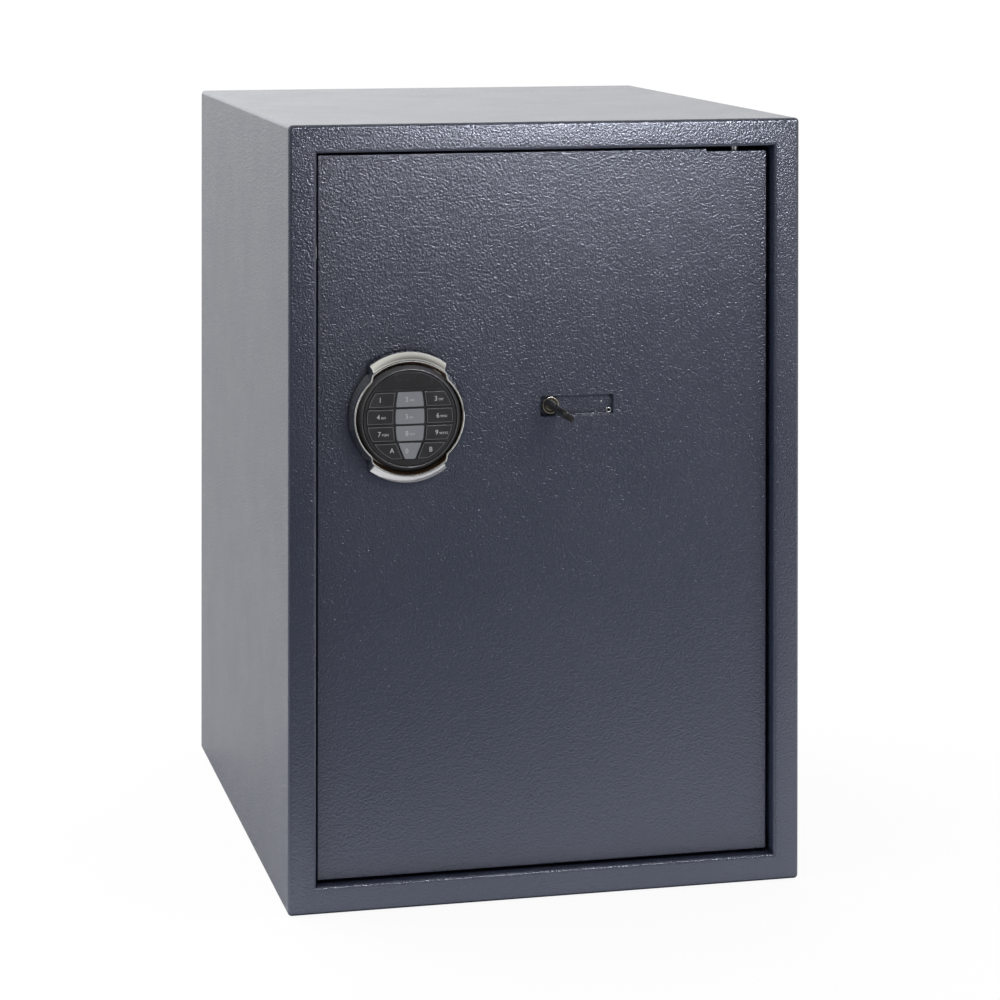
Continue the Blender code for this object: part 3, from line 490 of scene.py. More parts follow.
def brown_reflection_material():
    """A painted brown reflection on the bevel inside the ring's rim."""
    nodes = surface("brown_reflection_looks")
    streak = nodes.noise(160, 4, 0.65, nodes.stretched((1, 3, 1)))
    nodes.set("Base Color", nodes.mix(streak, (0.030, 0.018, 0.012), (0.34, 0.20, 0.12)))
    nodes.set("Metallic", 0.7)
    nodes.set("Roughness", nodes.ramp(nodes.noise(240, 3), 0.3, 0.7, 0.22, 0.4))
    nodes.set("Normal", nodes.bump(streak, 0.2, 0.05 * MM))
    return nodes.owner


def board_material():
    """Green solder lacquer over raised copper tracks."""
    nodes = surface("board_looks")
    tracks = nodes.ramp(nodes.cells(150, nodes.stretched((1, 1, 0.25))), 0.42, 0.48)
    nodes.set("Base Color", nodes.mix(tracks, (0.008, 0.07, 0.03), (0.02, 0.16, 0.07)))
    nodes.set("Roughness", nodes.ramp(nodes.noise(80, 3), 0.3, 0.7, 0.25, 0.4))
    nodes.set("Normal", nodes.bump(tracks, 0.4, 0.05 * MM))
    return nodes.owner


LOOKS = {
    "slate_paint": paint_material(),
    "black_paint": black_paint_material(),
    "chrome": chrome_material(),
    "dark_felt": felt_material(),
    "green_board": board_material(),
}
for name, dark, light, roughness, stretch, grain in (
    ("steel", (0.50, 0.50, 0.49), (0.62, 0.62, 0.60), (0.2, 0.36), (1, 1, 8), 300),
    ("zinc", (0.42, 0.43, 0.42), (0.56, 0.55, 0.50), (0.28, 0.45), (1, 1, 3), 160),
    ("brass", (0.16, 0.15, 0.11), (0.60, 0.56, 0.45), (0.16, 0.30), (1, 6, 1), 600),
    # Painted shade: a darker copy of chrome for the ring's faces that look down.
    ("chrome_shaded_below", (0.44, 0.44, 0.45), (0.54, 0.54, 0.56), (0.10, 0.18), (1, 1, 1), 300),
):
    LOOKS[name] = metal_material(name, dark, light, roughness, stretch, grain)
for name, dark, light, roughness, *grain in (
    ("black_plastic", (0.034, 0.034, 0.037), (0.044, 0.044, 0.047), (0.3, 0.42)),
    ("smoked_plastic", (0.034, 0.034, 0.037), (0.042, 0.042, 0.046), (0.22, 0.3), 2000, 0.008 * MM, 0.3),
    ("grey_plastic", (0.38, 0.40, 0.445), (0.42, 0.44, 0.49), (0.38, 0.5), 2600),
    ("battery_wrap", (0.02, 0.02, 0.022), (0.05, 0.05, 0.055), (0.25, 0.35), 1500, 0.01 * MM),
    ("red_plastic", (0.35, 0.012, 0.012), (0.45, 0.02, 0.02), (0.3, 0.4), 1500, 0.01 * MM),
    ("key_bronze", (0.010, 0.0095, 0.008), (0.022, 0.020, 0.016), (0.22, 0.36), 1600, 0.02 * MM),
    ("print", (0.80, 0.81, 0.84), (0.88, 0.89, 0.92), (0.4, 0.5), 2500, 0.005 * MM),
    ("outline", (0.24, 0.245, 0.26), (0.30, 0.305, 0.32), (0.4, 0.5), 2500, 0.005 * MM),
):
    LOOKS[name] = plastic_material(name, dark, light, roughness, *grain)


# -------------------- body


def frame_fall(into):
    """How far the frame's slightly crowned face falls back at a distance in from the outside."""
    share = (into - OUTER_BEND) / (FRAME_WIDTH - INNER_BEND - OUTER_BEND)
    return FRAME_CROWN * (1 - min(max(share, 0), 1)) ** 1.6


def shell_section():
    """The folded sheet's section, as (distance in from the outside, distance back from the front)."""
    outer = [(OUTER_BEND - x, OUTER_BEND - y) for x, y in arc((0, 0), OUTER_BEND, 0, math.pi / 2, 8)]
    crown = [(x, y + frame_fall(x)) for x, y in outer]
    face = [OUTER_BEND + (FRAME_WIDTH - INNER_BEND - OUTER_BEND) * i / 8 for i in range(1, 8)]
    crown += [(x, frame_fall(x)) for x in face]
    bend = arc((FRAME_WIDTH - INNER_BEND, 0), INNER_BEND, math.pi / 2, 0, 7)
    lip = [(x, INNER_BEND - y) for x, y in bend]
    depth = SHELL_HIGH.y - SHELL_LOW.y
    soft = 0.3 * MM
    inside = OUTER_BEND - SHEET
    inner = [(OUTER_BEND - x, OUTER_BEND - y) for x, y in arc((0, 0), inside, math.pi / 2, 0, 4)]
    return [
        (0, depth - soft),
        (0, depth * 0.5),
        (0, OUTER_BEND + 6 * MM),
        *crown,
        *lip,
        (FRAME_WIDTH, LIP_DEPTH - soft),
        (FRAME_WIDTH - soft, LIP_DEPTH),
        (FRAME_WIDTH - SHEET + soft, LIP_DEPTH),
        (FRAME_WIDTH - SHEET, LIP_DEPTH - soft),
        (FRAME_WIDTH - SHEET, SHEET),
        *inner,
        (SHEET, depth - soft),
        (SHEET - soft, depth),
        (soft, depth),
    ]


def make_body_shell():
    width = SHELL_HIGH.x
    height = SHELL_HIGH.z
    rings = []
    for into, back in shell_section():
        corner = max(OUTER_BEND - into, 0)
        outline = rounded_rectangle((-width + into, into), (width - into, height - into), corner)
        rings.append(across_y(outline, FRONT_Y + back))
    middle = FRAME_WIDTH - SHEET / 2
    tools = []
    for z in (middle, height - middle):
        tools.append(prism("Z", circle((HINGE.x, HINGE.y), HINGE_HOLE, 32), z - SHEET, z + SHEET))
    for x in (-ANCHOR_X, ANCHOR_X):
        for y in (-ANCHOR_Y, ANCHOR_Y):
            tools.append(prism("Z", circle((x, y), ANCHOR_RADIUS, 40), -MM, SHEET + MM))
    add_piece("body_shell_surface", cut(skin(rings, True), tools), "slate_paint", "safe", "body_shell")


def door_blank():
    """The leaf without its holes, with softly rounded edges and a relief beside the upper hinge."""
    low, high = DOOR_LOW, DOOR_HIGH
    relief = high.x - RELIEF_WIDTH
    step = high.z - RELIEF_STEP
    foot = [(low.x, low.z), (high.x, low.z)]
    head = [(high.x, step), (relief, step), (relief, high.z), (low.x, high.z)]
    blank = helper_object("door_blank", prism("Y", foot + head, DOOR_Y, high.y))
    add_bevel(blank, DOOR_EDGE, 4)
    return evaluated(blank)


def recess_cutter():
    """The recess: its mouth flares out to the front, and its foot is rounded."""
    mouth = [(1.2, -1), (0.55, -0.02), (0.3, 0.12), (0.1, 0.35)]
    mouth += [(0, 0.7), (-0.05, 2.6), (-0.3, 2.9), (-0.7, 3)]
    rings = []
    for grow, place in in_mm(mouth, DOOR_Y):
        low = [value - grow for value in RECESS_LOW]
        high = [value + grow for value in RECESS_HIGH]
        outline = rounded_rectangle(low, high, 1.6 * MM + grow / 2)
        rings.append(across_y(outline, place))
    return skin(rings, False)


def make_door_plate():
    front = DOOR_Y - MM
    back = DOOR_HIGH.y + MM
    pit = in_mm([(0, -1), (1.8, -1), (1.8, 0.8), (1.3, 1), (0, 1)], RECESS_FLOOR)
    tools = [
        recess_cutter(),
        turned(RECESS_HOLE, pit, 32),
        prism("Y", circle(LOCK_CENTRE, LOCK_HOLE, 48), front, back),
        prism("Y", circle(RING_CENTRE, SPINDLE_HOLE, 48), front, back),
    ]
    for name in TRAY_SCREWS:
        low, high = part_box(name)
        place = ((low.x + high.x) / 2, (low.z + high.z) / 2)
        tools.append(prism("Y", circle(place, SCREW_HOLE, 24), DOOR_HIGH.y - SCREW_DEPTH, back))
    add_piece("door_plate_surface", cut(door_blank(), tools), "slate_paint", "door", "door_plate")
    rim = [(1.15, -0.1), (1.4, -0.45), (1.75, -0.45), (2.1, -0.1), (2.1, -0.02), (1.15, -0.02)]
    eyelet = turned(RECESS_HOLE, softened(in_mm(rim, RECESS_FLOOR), 0.2 * MM), 40)
    add_piece("recess_eyelet", eyelet, "zinc", "door")
    head = [(0, -0.55), (0.5, -0.45), (0.85, -0.02), (0, -0.02)]
    rivet = turned(RECESS_DIMPLE, softened(in_mm(head, RECESS_FLOOR), 0.2 * MM), 24)
    add_piece("recess_rivet", rivet, "chrome", "door")


# -------------------- turning ring


def from_vertical(angle):
    """How far a direction round the ring is from straight up or straight down."""
    return abs(math.pi / 2 - abs(angle))


def ear_share(angle):
    """How much of the ear's face a direction has: 1 on the ears, 0 at the sides, a straight end between."""
    rest = (EAR_END_ANGLE - from_vertical(angle)) / (EAR_END_ANGLE - EAR_ANGLE)
    return min(max(rest, 0), 1)


def rim_share(angle):
    """How much of the ear's wider rim a direction has, with a smooth neck between ear and side."""
    rest = (RIM_NECK_ANGLE - from_vertical(angle)) / (RIM_NECK_ANGLE - RIM_EAR_ANGLE)
    rest = min(max(rest, 0), 1)
    return rest * rest * (3 - 2 * rest)


def waist(angle):
    """How much the side's rim draws in at a direction: nothing at mid side, most beside the ears."""
    spread = math.pi / 2 - RIM_NECK_ANGLE
    nearness = min((math.pi / 2 - from_vertical(angle)) / spread, 1)
    return RIM_WAIST * nearness**1.5


def ring_angles():
    """Directions round the ring, closer together at the ends of the ears."""
    quarter = [EAR_ANGLE * i / 24 for i in range(25)]
    quarter += [EAR_ANGLE + (RIM_NECK_ANGLE - EAR_ANGLE) * (i + 1) / 22 for i in range(22)]
    quarter += [RIM_NECK_ANGLE + (math.pi / 2 - RIM_NECK_ANGLE) * (i + 1) / 26 for i in range(26)]
    head = [math.pi / 2 - a for a in reversed(quarter)] + [math.pi / 2 + a for a in quarter[1:]]
    foot = [a - math.pi for a in head[1:-1]]
    return head + foot


def ring_section(angle):
    """The ring's section in one direction, as (radius, distance in front of the door)."""
    ear = ear_share(angle)
    draw = waist(angle)
    rim = RIM_RADIUS - draw
    rim += rim_share(angle) * (EAR_RIM_RADIUS - rim)
    shoulder = SHOULDER_RADIUS - draw
    soft = 0.35 * MM
    foot = RING_FOOT
    head = RING_PROUD
    bead = RIM_BEAD
    wall = max(shoulder + ear * (EAR_BASE_RADIUS - shoulder), rim + soft)
    base = max(RING_BASE_RADIUS + ear * (EAR_BASE_RADIUS - RING_BASE_RADIUS), wall)
    points = [
        (base - 0.4 * MM, foot),
        (base, foot + 0.4 * MM),
        (wall + 0.05 * (base - wall), EAR_WALL - 0.8 * MM),
        (wall, EAR_WALL - 0.3 * MM),
        (wall - 0.12 * MM, EAR_WALL + 0.1 * MM),
        (wall - soft, EAR_WALL + soft),
    ]
    low = Vector(points[-1])
    high = Vector((rim + 0.02 * MM, head - bead))
    for step in range(1, 6):
        bulge = Vector((0, 0.18 * MM * math.sin(math.pi * step / 6)))
        points.append(tuple(low.lerp(high, step / 6) + bulge))
    points += arc((rim - bead, head - bead), bead, 0, 0.8 * math.pi, 9)
    points += [
        (BOWL_RADIUS + 0.25 * MM, head - RIM_BEVEL + 0.5 * MM),
        (BOWL_RADIUS, head - RIM_BEVEL),
        (BOWL_RADIUS, foot + 2 * MM),
        (SPINDLE_BORE, foot + 2 * MM),
        (SPINDLE_BORE, foot),
    ]
    return points


def make_turn_ring():
    """The ring in chrome, with a painted brown reflection inside its rim, and a darker, slightly rougher
    chrome as painted shade on the faces that look down.
    """
    columns = []
    for angle in ring_angles():
        column = []
        for radius, proud in ring_section(angle):
            x = RING_X + radius * math.cos(angle)
            column.append(Vector((x, DOOR_Y - proud, RING_Z + radius * math.sin(angle))))
        columns.append(column)
    shape = skin([list(row) for row in zip(*columns)], True)
    ring = add_piece("turn_ring_surface", shape, "chrome", "ring", "turn_ring", sharp=50)
    # Painted reflection: the bevel inside the rim gets a brown material.
    ring.data.materials.append(brown_reflection_material())
    # Painted shade: the ring's downward faces get the darker chrome.
    ring.data.materials.append(LOOKS["chrome_shaded_below"])
    rim_head = DOOR_Y - RING_PROUD + RIM_BEAD * 0.8
    rim_foot = DOOR_Y - RING_PROUD + RIM_BEVEL + 0.1 * MM
    for face in ring.data.polygons:
        outwards = Vector((face.center.x - RING_X, 0, face.center.z - RING_Z))
        if rim_head < face.center.y < rim_foot and face.normal.dot(outwards) < 0:
            face.material_index = 1
        elif face.center.z < RING_Z and face.normal.z < -0.2:
            face.material_index = 2


# -------------------- keypad


def middle_half_width(z):
    """Half the width of the keypad's middle column, which bulges a little at mid height."""
    return MIDDLE_KEY_HALF - z * z / MIDDLE_KEY_CURVE


def foot_key_side(z):
    """Half the width of the key in the foot row, which narrows downwards."""
    head = KEY_TOP - 3 * KEY_PITCH
    return FOOT_KEY_HEAD - (FOOT_KEY_HEAD - FOOT_KEY_TAIL) * (head - z) / (head - KEY_FOOT)


def side_key(low, high, inner, side):
    """A key between the middle column's edge and the key field's circle."""
    steps = 8
    heights = [low + (high - low) * i / steps for i in range(steps + 1)]
    near = [(side * (inner(z) + KEY_SPACE), z) for z in heights]
    far = [(side * math.sqrt(max(KEY_FIELD_RADIUS**2 - z**2, 0)), z) for z in reversed(heights)]
    return near + far


def key_outlines():
    """Each key's name and outline on the keypad, relative to the keypad's centre."""
    outlines = {}
    rows = (("1", "2", "3"), ("4", "5", "6"), ("7", "8", "9"), ("a", "0", "b"))
    for row, names in enumerate(rows):
        high = KEY_TOP - row * KEY_PITCH
        low = KEY_FOOT if row == 3 else high - KEY_HEIGHT
        inner = foot_key_side if row == 3 else middle_half_width
        for column, name in zip((-1, 0, 1), names):
            if column:
                outlines[name] = side_key(low, high, inner, column)
                continue
            heights = [low + (high - low) * i / 4 for i in range(5)]
            right = [(inner(z), z) for z in heights]
            outlines[name] = right + [(-x, z) for x, z in reversed(right)]
    return outlines


def rounded_outline(outline, radius):
    """An outline on the keypad with its sharp corners rounded."""
    shifted = [(x + 1, z) for x, z in outline]
    return [(x - 1, z) for x, z in softened(shifted, radius, 5)]


def keypad_rings(outlines_and_depths):
    """Outlines on the keypad, each at its distance in front of the door."""
    rings = []
    for outline, proud in outlines_and_depths:
        rings.append(across_y([(RING_X + x, RING_Z + z) for x, z in outline], DOOR_Y - proud))
    return rings


def loft(outlines_and_depths):
    """Stack outlines on the keypad, and close both ends."""
    return skin(keypad_rings(outlines_and_depths), False)


def strip(outline, low, high):
    """A thin raised line that follows an outline."""
    inner = inset(outline, LINE_WIDTH)
    return skin(keypad_rings([(outline, low), (outline, high), (inner, high), (inner, low)]), True)


def window_outline(grow):
    """A window over the keys: straight head and foot, and ends that follow the plate's edge."""
    radius = WINDOW_RADIUS + grow
    low = math.asin((WINDOW_FOOT - grow) / radius)
    high = math.asin((WINDOW_HEAD + grow) / radius)
    return arc((0, 0), radius, low, high, 10) + arc((0, 0), radius, math.pi - high, math.pi - low, 10)


def text_shape(text, size, centre, squeeze=LETTER_SQUEEZE, align="CENTER"):
    """Raised characters on a key, as a mesh."""
    curve = bpy.data.curves.new("legend", "FONT")
    curve.body = text
    curve.size = size
    curve.align_x = align
    curve.align_y = "CENTER"
    curve.extrude = TEXT_RISE / 2
    curve.offset = size * TEXT_WEIGHT
    curve.resolution_u = 3
    item = bpy.data.objects.new("legend", curve)
    bpy.context.scene.collection.objects.link(item)
    mesh = bpy.data.meshes.new_from_object(item.evaluated_get(bpy.context.evaluated_depsgraph_get()))
    shape = bmesh.new()
    shape.from_mesh(mesh)
    bpy.data.objects.remove(item, do_unlink=True)
    bpy.data.meshes.remove(mesh)
    turn = Matrix.Rotation(math.pi / 2, 4, "X") @ Matrix.Diagonal((squeeze, 1, 1, 1))
    move = Matrix.Translation((RING_X + centre[0], DOOR_Y - KEY_FRONT, RING_Z + centre[1]))
    bmesh.ops.transform(shape, matrix=move @ turn, verts=shape.verts)
    return shape


def gather(shapes):
    """Several separate shapes in one mesh."""
    whole = bmesh.new()
    for shape in shapes:
        mesh = bpy.data.meshes.new("part")
        shape.to_mesh(mesh)
        shape.free()
        whole.from_mesh(mesh)
        bpy.data.meshes.remove(mesh)
    return whole


def make_bezel():
    """The black collar round the keypad's plate, which falls away outwards."""
    seat = PLATE_RADIUS + 0.3 * MM
    section = [
        (5 * MM, 2.6 * MM),
        (BEZEL_RADIUS, 2.6 * MM),
        (BEZEL_RADIUS, 8.6 * MM),
        (BEZEL_RADIUS - 0.3 * MM, 9.3 * MM),
        (seat + 0.9 * MM, PLATE_FRONT + 0.35 * MM),
        (seat + 0.35 * MM, PLATE_FRONT + 0.45 * MM),
        (seat, PLATE_FRONT),
        (seat, PLATE_FRONT - 4.7 * MM),
        (seat - 4 * MM, PLATE_FRONT - 4.7 * MM),
        (seat - 4 * MM, 3.6 * MM),
        (5 * MM, 3.6 * MM),
    ]
    profile = [(radius, DOOR_Y - proud) for radius, proud in softened(section, 0.3 * MM)]
    bezel = turned(RING_CENTRE, profile, 160)
    add_piece("keypad_bezel_surface", bezel, "black_plastic", "door", "keypad_bezel")


def make_plate(outlines):
    """The disc that carries the keys, with a pocket for each and for the window."""
    front = PLATE_FRONT
    rim = PLATE_RADIUS
    disc = [
        (0, front - 4.4 * MM),
        (rim, front - 4.4 * MM),
        (rim, front - 0.5 * MM),
        (rim - 0.25 * MM, front - 0.1 * MM),
        (rim - 0.7 * MM, front),
        (0, front),
    ]
    plate = turned(RING_CENTRE, [(radius, DOOR_Y - proud) for radius, proud in disc], 160)
    over = arc((0, 0), rim + MM, 0.25 * math.pi, 0.75 * math.pi, 24)
    pockets = [(rounded_outline(inset(outline, -0.3 * MM), MM), 2.2 * MM) for outline in outlines]
    pockets.append((window_outline(WINDOW_GAP), 1.3 * MM))
    pockets.append(([(x, z) for x, z in over if z > WINDOW_HEAD + MM], 0.35 * MM))
    tools = [loft([(outline, front + MM), (outline, front - depth)]) for outline, depth in pockets]
    add_piece("keypad_plate_surface", cut(plate, tools), "black_plastic", "door", "keypad_plate")


def make_keypad():
    outlines = key_outlines()
    make_bezel()
    make_plate(outlines.values())
    make_window()
    for name, outline in outlines.items():
        make_key(name, outline)


def make_window():
    """The smoked window, nearly flush and tight in its pocket, with a small sensor dimple."""
    edge = window_outline(0)
    top = window_outline(-0.08 * MM)
    front = PLATE_FRONT
    window = loft([(edge, front - MM), (edge, front - 0.1 * MM), (top, front - 0.02 * MM)])
    dimple = rounded_rectangle((-2.1 * MM, 23.2 * MM), (2.1 * MM, 25.4 * MM), 0.4 * MM)
    cutter = loft([(dimple, front + MM), (dimple, front - 0.18 * MM)])
    add_piece("keypad_window_surface", cut(window, [cutter]), "smoked_plastic", "door", "keypad_window")


MIDDLE_KEYS = "2580"
GROUPS = {"2": "ABC", "3": "DEF", "4": "GHI", "5": "JKL", "6": "MNO", "7": "PQRS", "8": "TUV", "9": "WXYZ"}


def key_legend(name, outline):
    """The letter on a side key of the foot row, or a digit with its group of small letters."""
    middle_x = (max(x for x, _ in outline) + min(x for x, _ in outline)) / 2
    middle_z = (max(z for _, z in outline) + min(z for _, z in outline)) / 2 - 0.1 * MM
    if name in "ab":
        shift = 2.6 * MM if name == "a" else -0.6 * MM
        return text_shape(name.upper(), DIGIT_SIZE, (middle_x + shift, middle_z + 0.6 * MM))
    left = middle_x - (2.3 * MM if name in MIDDLE_KEYS else 1.4 * MM)
    shapes = [text_shape(name, DIGIT_SIZE, (left, middle_z), DIGIT_SQUEEZE)]
    if name in GROUPS:
        place = (left + 1.9 * MM, middle_z - 0.55 * MM)
        shapes.append(text_shape(GROUPS[name], LETTER_SIZE, place, align="LEFT"))
    return gather(shapes)


def make_key(name, outline):
    """One key with rounded corners and a soft top edge, and its printed line and legend."""
    body = "button_" + name
    node = "key_" + name
    finish = "grey_plastic" if name in MIDDLE_KEYS else "black_plastic"
    layers = []
    for into, depth in in_mm([(0, 2.1), (0, 0.25), (0.08, 0.07), (0.25, 0)]):
        layers.append((rounded_outline(inset(outline, into), KEY_CORNER), KEY_FRONT - depth))
    add_piece(node + "_surface", loft(layers), finish, body, node)
    if name not in MIDDLE_KEYS:
        around = rounded_outline(inset(outline, 0.3 * MM), 0.8 * MM)
        line = strip(around, KEY_FRONT - 0.05 * MM, KEY_FRONT + 0.015 * MM)
        add_piece(node + "_line", line, finish, body, look=LOOKS["outline"])
    add_piece(node + "_legend", key_legend(name, outline), finish, body, look=LOOKS["print"])


# -------------------- emergency lock


def tilted(points):
    """Points across the keyway, turned to the key's tilt about the lock's centre."""
    cosine = math.cos(KEY_TILT)
    sine = math.sin(KEY_TILT)
    return [(LOCK.x + x * cosine - z * sine, LOCK.z + x * sine + z * cosine) for x, z in points]


def make_lock():
    """The brass barrel and the plug in it, with a slot for the key."""
    rim = [(4.6, -0.8), (5.0, -1.1), (5.9, -1.1), (6.3, -0.8), (6.3, -0.3)]
    tube = [(5.7, -0.3), (5.7, 25.5), (4.6, 25.5)]
    barrel = turned(LOCK_CENTRE, softened(in_mm(rim + tube, RECESS_FLOOR), 0.25 * MM))
    add_piece("lock_barrel_surface", barrel, "brass", "door", "lock_barrel")
    face = RECESS_FLOOR - 1.5 * MM
    core = [(0, 0.5), (2.4, 0.5), (2.9, 0), (4.0, 0), (4.3, 0.3), (4.3, 27.5), (0, 27.5)]
    slot = in_mm([(-3.4, -0.9), (3.4, -0.9), (3.4, 0.9), (-3.4, 0.9)])
    keyway = prism("Y", tilted(slot), face - MM, DOOR_Y + 24 * MM)
    plug = cut(turned(LOCK_CENTRE, in_mm(core, face)), [keyway])
    add_piece("lock_plug_surface", plug, "brass", "plug", "lock_plug")
    make_key_blade()
    make_key_bow()


def blade_outline(half, thick):
    """The blade's section: flat, with a shallow groove down the middle of each face."""
    groove = 0.8 * MM
    under = [(-half, -thick), (-groove, -thick), (0, -thick / 2), (groove, -thick), (half, -thick)]
    return under + [(x, -z) for x, z in reversed(under)]


def make_key_blade():
    """A double-sided blade with shallow V cuts and a pointed tip."""
    start = DOOR_Y - 0.7 * MM
    end = DOOR_Y + 22.9 * MM
    steps = 48
    rings = []
    for step in range(steps + 1):
        y = start + (end - start) * step / steps
        depth = abs(math.sin(step * 1.9)) * 0.7 if y > DOOR_Y + 5 * MM else 0
        tip = max(0, (step - steps + 4) / 4) * 1.6
        flat = blade_outline((3 - depth - tip) * MM, 0.6 * MM)
        rings.append(across_y(tilted(flat), y))
    add_piece("key_blade_surface", skin(rings, False), "steel", "emergency_key", "key_blade")


def bow_outline(half_width, half_thick, sides=48):
    """The grip's section: a rounded oblong with two shallow hollows down each face."""
    points = []
    for i in range(sides):
        angle = 2 * math.pi * i / sides
        c = math.cos(angle)
        s = math.sin(angle)
        x = half_width * math.copysign(abs(c) ** 0.5, c)
        hollow = 0.55 * MM * math.exp(-(((abs(x) - 0.5 * half_width) / (0.22 * half_width)) ** 2))
        z = math.copysign(max(half_thick * abs(s) ** 0.4 - hollow * abs(s), 0.0), s)
        points.append((LOCK.x + x, LOCK.z + z))
    return points


def make_key_bow():
    """The long moulded grip, which tapers to a round end with a ring hole."""
    low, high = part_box("key_bow")
    low.y -= KEY_OVERHANG
    steps = 40
    rings = []
    for step in range(steps + 1):
        t = step / steps
        half_width = (7.5 - 1.2 * t) * MM * min(1, 0.72 + 4.5 * t)
        if t > 0.82:
            half_width *= math.sqrt(max(1 - ((t - 0.82) / 0.2) ** 2, 0.12))
        half_thick = (2.8 - 0.7 * t) * MM * (0.8 if step in (0, steps) else 1)
        rings.append(across_y(bow_outline(half_width, half_thick), high.y + (low.y - high.y) * t))
    hole = prism("Z", circle((LOCK.x, low.y + 8 * MM), 2.2 * MM, 32), LOCK.z - 5 * MM, LOCK.z + 5 * MM)
    shape = cut(skin(rings, False), [hole])
    turn = Matrix.Rotation(-KEY_TILT, 3, "Y")
    bmesh.ops.rotate(shape, cent=Vector((LOCK.x, 0, LOCK.z)), matrix=turn, verts=shape.verts)
    bow = {"body": "emergency_key", "replaces": "key_bow", "look": LOOKS["key_bronze"], "sharp": 50}
    add_piece("key_bow_surface", shape, "black_plastic", **bow)


# -------------------- floor mat

MAT_STEPS = 56
MAT_EDGES = (0, 0.5 * MM, 1.2 * MM, 2.5 * MM, 6 * MM)


def mat_lines(low, high):
    """Grid lines across the mat, closer together at its two edges."""
    start = low + MAT_EDGES[-1]
    span = high - low - 2 * MAT_EDGES[-1]
    inner = [start + span * i / MAT_STEPS for i in range(1, MAT_STEPS)]
    return [low + edge for edge in MAT_EDGES] + inner + [high - edge for edge in reversed(MAT_EDGES)]


def felt_height(x, y, from_edge, thick):
    """The felt's thickness at a place: pinched where it was cut, and faintly wavy elsewhere."""
    edge = min(from_edge / (2.5 * MM), 1)
    wave = math.sin(61 * x + 2.1 * math.sin(37 * y)) + math.sin(83 * y + 1.7 * math.sin(47 * x))
    return thick * (0.45 + 0.5 * math.sqrt(1 - (1 - edge) ** 2)) + 0.1 * MM * wave * edge


def make_floor_mat():
    """A cut sheet of felt on the floor of the safe."""
    low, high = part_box("floor_mat")
    across = mat_lines(low.x, high.x)
    deep = mat_lines(low.y, high.y)
    shape = bmesh.new()
    grids = []
    for top in (False, True):
        grid = []
        for y in deep:
            row = []
            for x in across:
                from_edge = min(x - low.x, high.x - x, y - low.y, high.y - y)
                rise = felt_height(x, y, from_edge, high.z - low.z) if top else 0
                row.append(shape.verts.new((x, y, low.z + rise)))
            grid.append(row)
        grids.append(grid)
        for j in range(len(deep) - 1):
            for i in range(len(across) - 1):
                shape.faces.new((grid[j][i], grid[j][i + 1], grid[j + 1][i + 1], grid[j + 1][i]))
    foot, head = grids
    for lower, upper in zip(mat_rim(foot), mat_rim(head)):
        shape.faces.new((lower[0], lower[1], upper[1], upper[0]))
    add_piece("floor_mat_felt", shape, "dark_felt", "safe", "floor_mat", sharp=70)


def mat_rim(grid):
    """The pairs of neighbouring points round a grid's edge."""
    right = [row[-1] for row in grid[1:]]
    left = [row[0] for row in grid[-2:0:-1]]
    round_trip = grid[0] + right + grid[-1][-2::-1] + left
    return list(zip(round_trip, round_trip[1:] + round_trip[:1]))


# -------------------- carried-over CAD nodes

TRAY_SCREWS = [f"tray_screw_{z}_{x}" for z in ("bottom", "top") for x in ("left", "right")]
KEEP = {
    "slate_paint": ["back_panel", "shelf", "hinge_block_bottom", "hinge_block_top"],
    "black_paint": ["door_tray"],
    "chrome": ["bolt_bottom", "bolt_middle", "bolt_top"],
    "steel": ["hinge_pin_bottom", "hinge_pin_top", "ring_spindle", "solenoid_plunger"],
    "zinc": [
        *("shelf_rail_left", "shelf_rail_right", "hinge_plate_bottom", "hinge_plate_top"),
        *("bolt_guide", "spindle_bush", "keypad_stem", "lock_nut", "solenoid_body", "crank_disc"),
        *("bolt_carriage", "lock_cam", *TRAY_SCREWS),
    ],
    "black_plastic": ["battery_holder", "battery_cover"],
    "green_board": ["circuit_board"],
    "battery_wrap": ["battery_1", "battery_2", "battery_3", "battery_4"],
    "red_plastic": ["reset_button"],
}


def dress_cad_nodes():
    """Give each kept CAD node its finish and soft edges, and close the gap round the back panel."""
    for finish, names in KEEP.items():
        for name in names:
            item = frame["nodes"][name]
            for slot in item.material_slots:
                slot.material = LOOKS[finish]
            weld = item.modifiers.new("weld", "WELD")
            weld.merge_threshold = 0.002 * MM
            add_bevel(item, 0.25 * MM, 2)
    seal = frame["nodes"]["back_panel"].modifiers.new("seal", "DISPLACE")
    seal.strength = BACK_SEAL
    seal.mid_level = 0


# -------------------- stage, light and camera


FLOOR_REACH = 40
# Painted shade on the floor further in front, seen only in reflections and bounced light.
FRONT_FLOOR_SHADE = (0.30, 0.30, 0.31)
NEAR_FLOOR_GLOW = 0.75
SHOWN_FLOOR = (0.12, 0.12, 0.12)
SHOWN_FLOOR_GLOW = 0.92


def make_floor():
    mesh = bpy.data.meshes.new("studio_floor")
    square = ((-1, -1), (1, -1), (1, 1), (-1, 1))
    mesh.from_pydata([(FLOOR_REACH * x, FLOOR_REACH * y, 0) for x, y in square], [], [(0, 1, 2, 3)])
    mesh.materials.append(floor_material())
    floor = bpy.data.objects.new("studio_floor", mesh)
    floor.location.z = -0.1 * MM
    bpy.context.scene.collection.objects.link(floor)


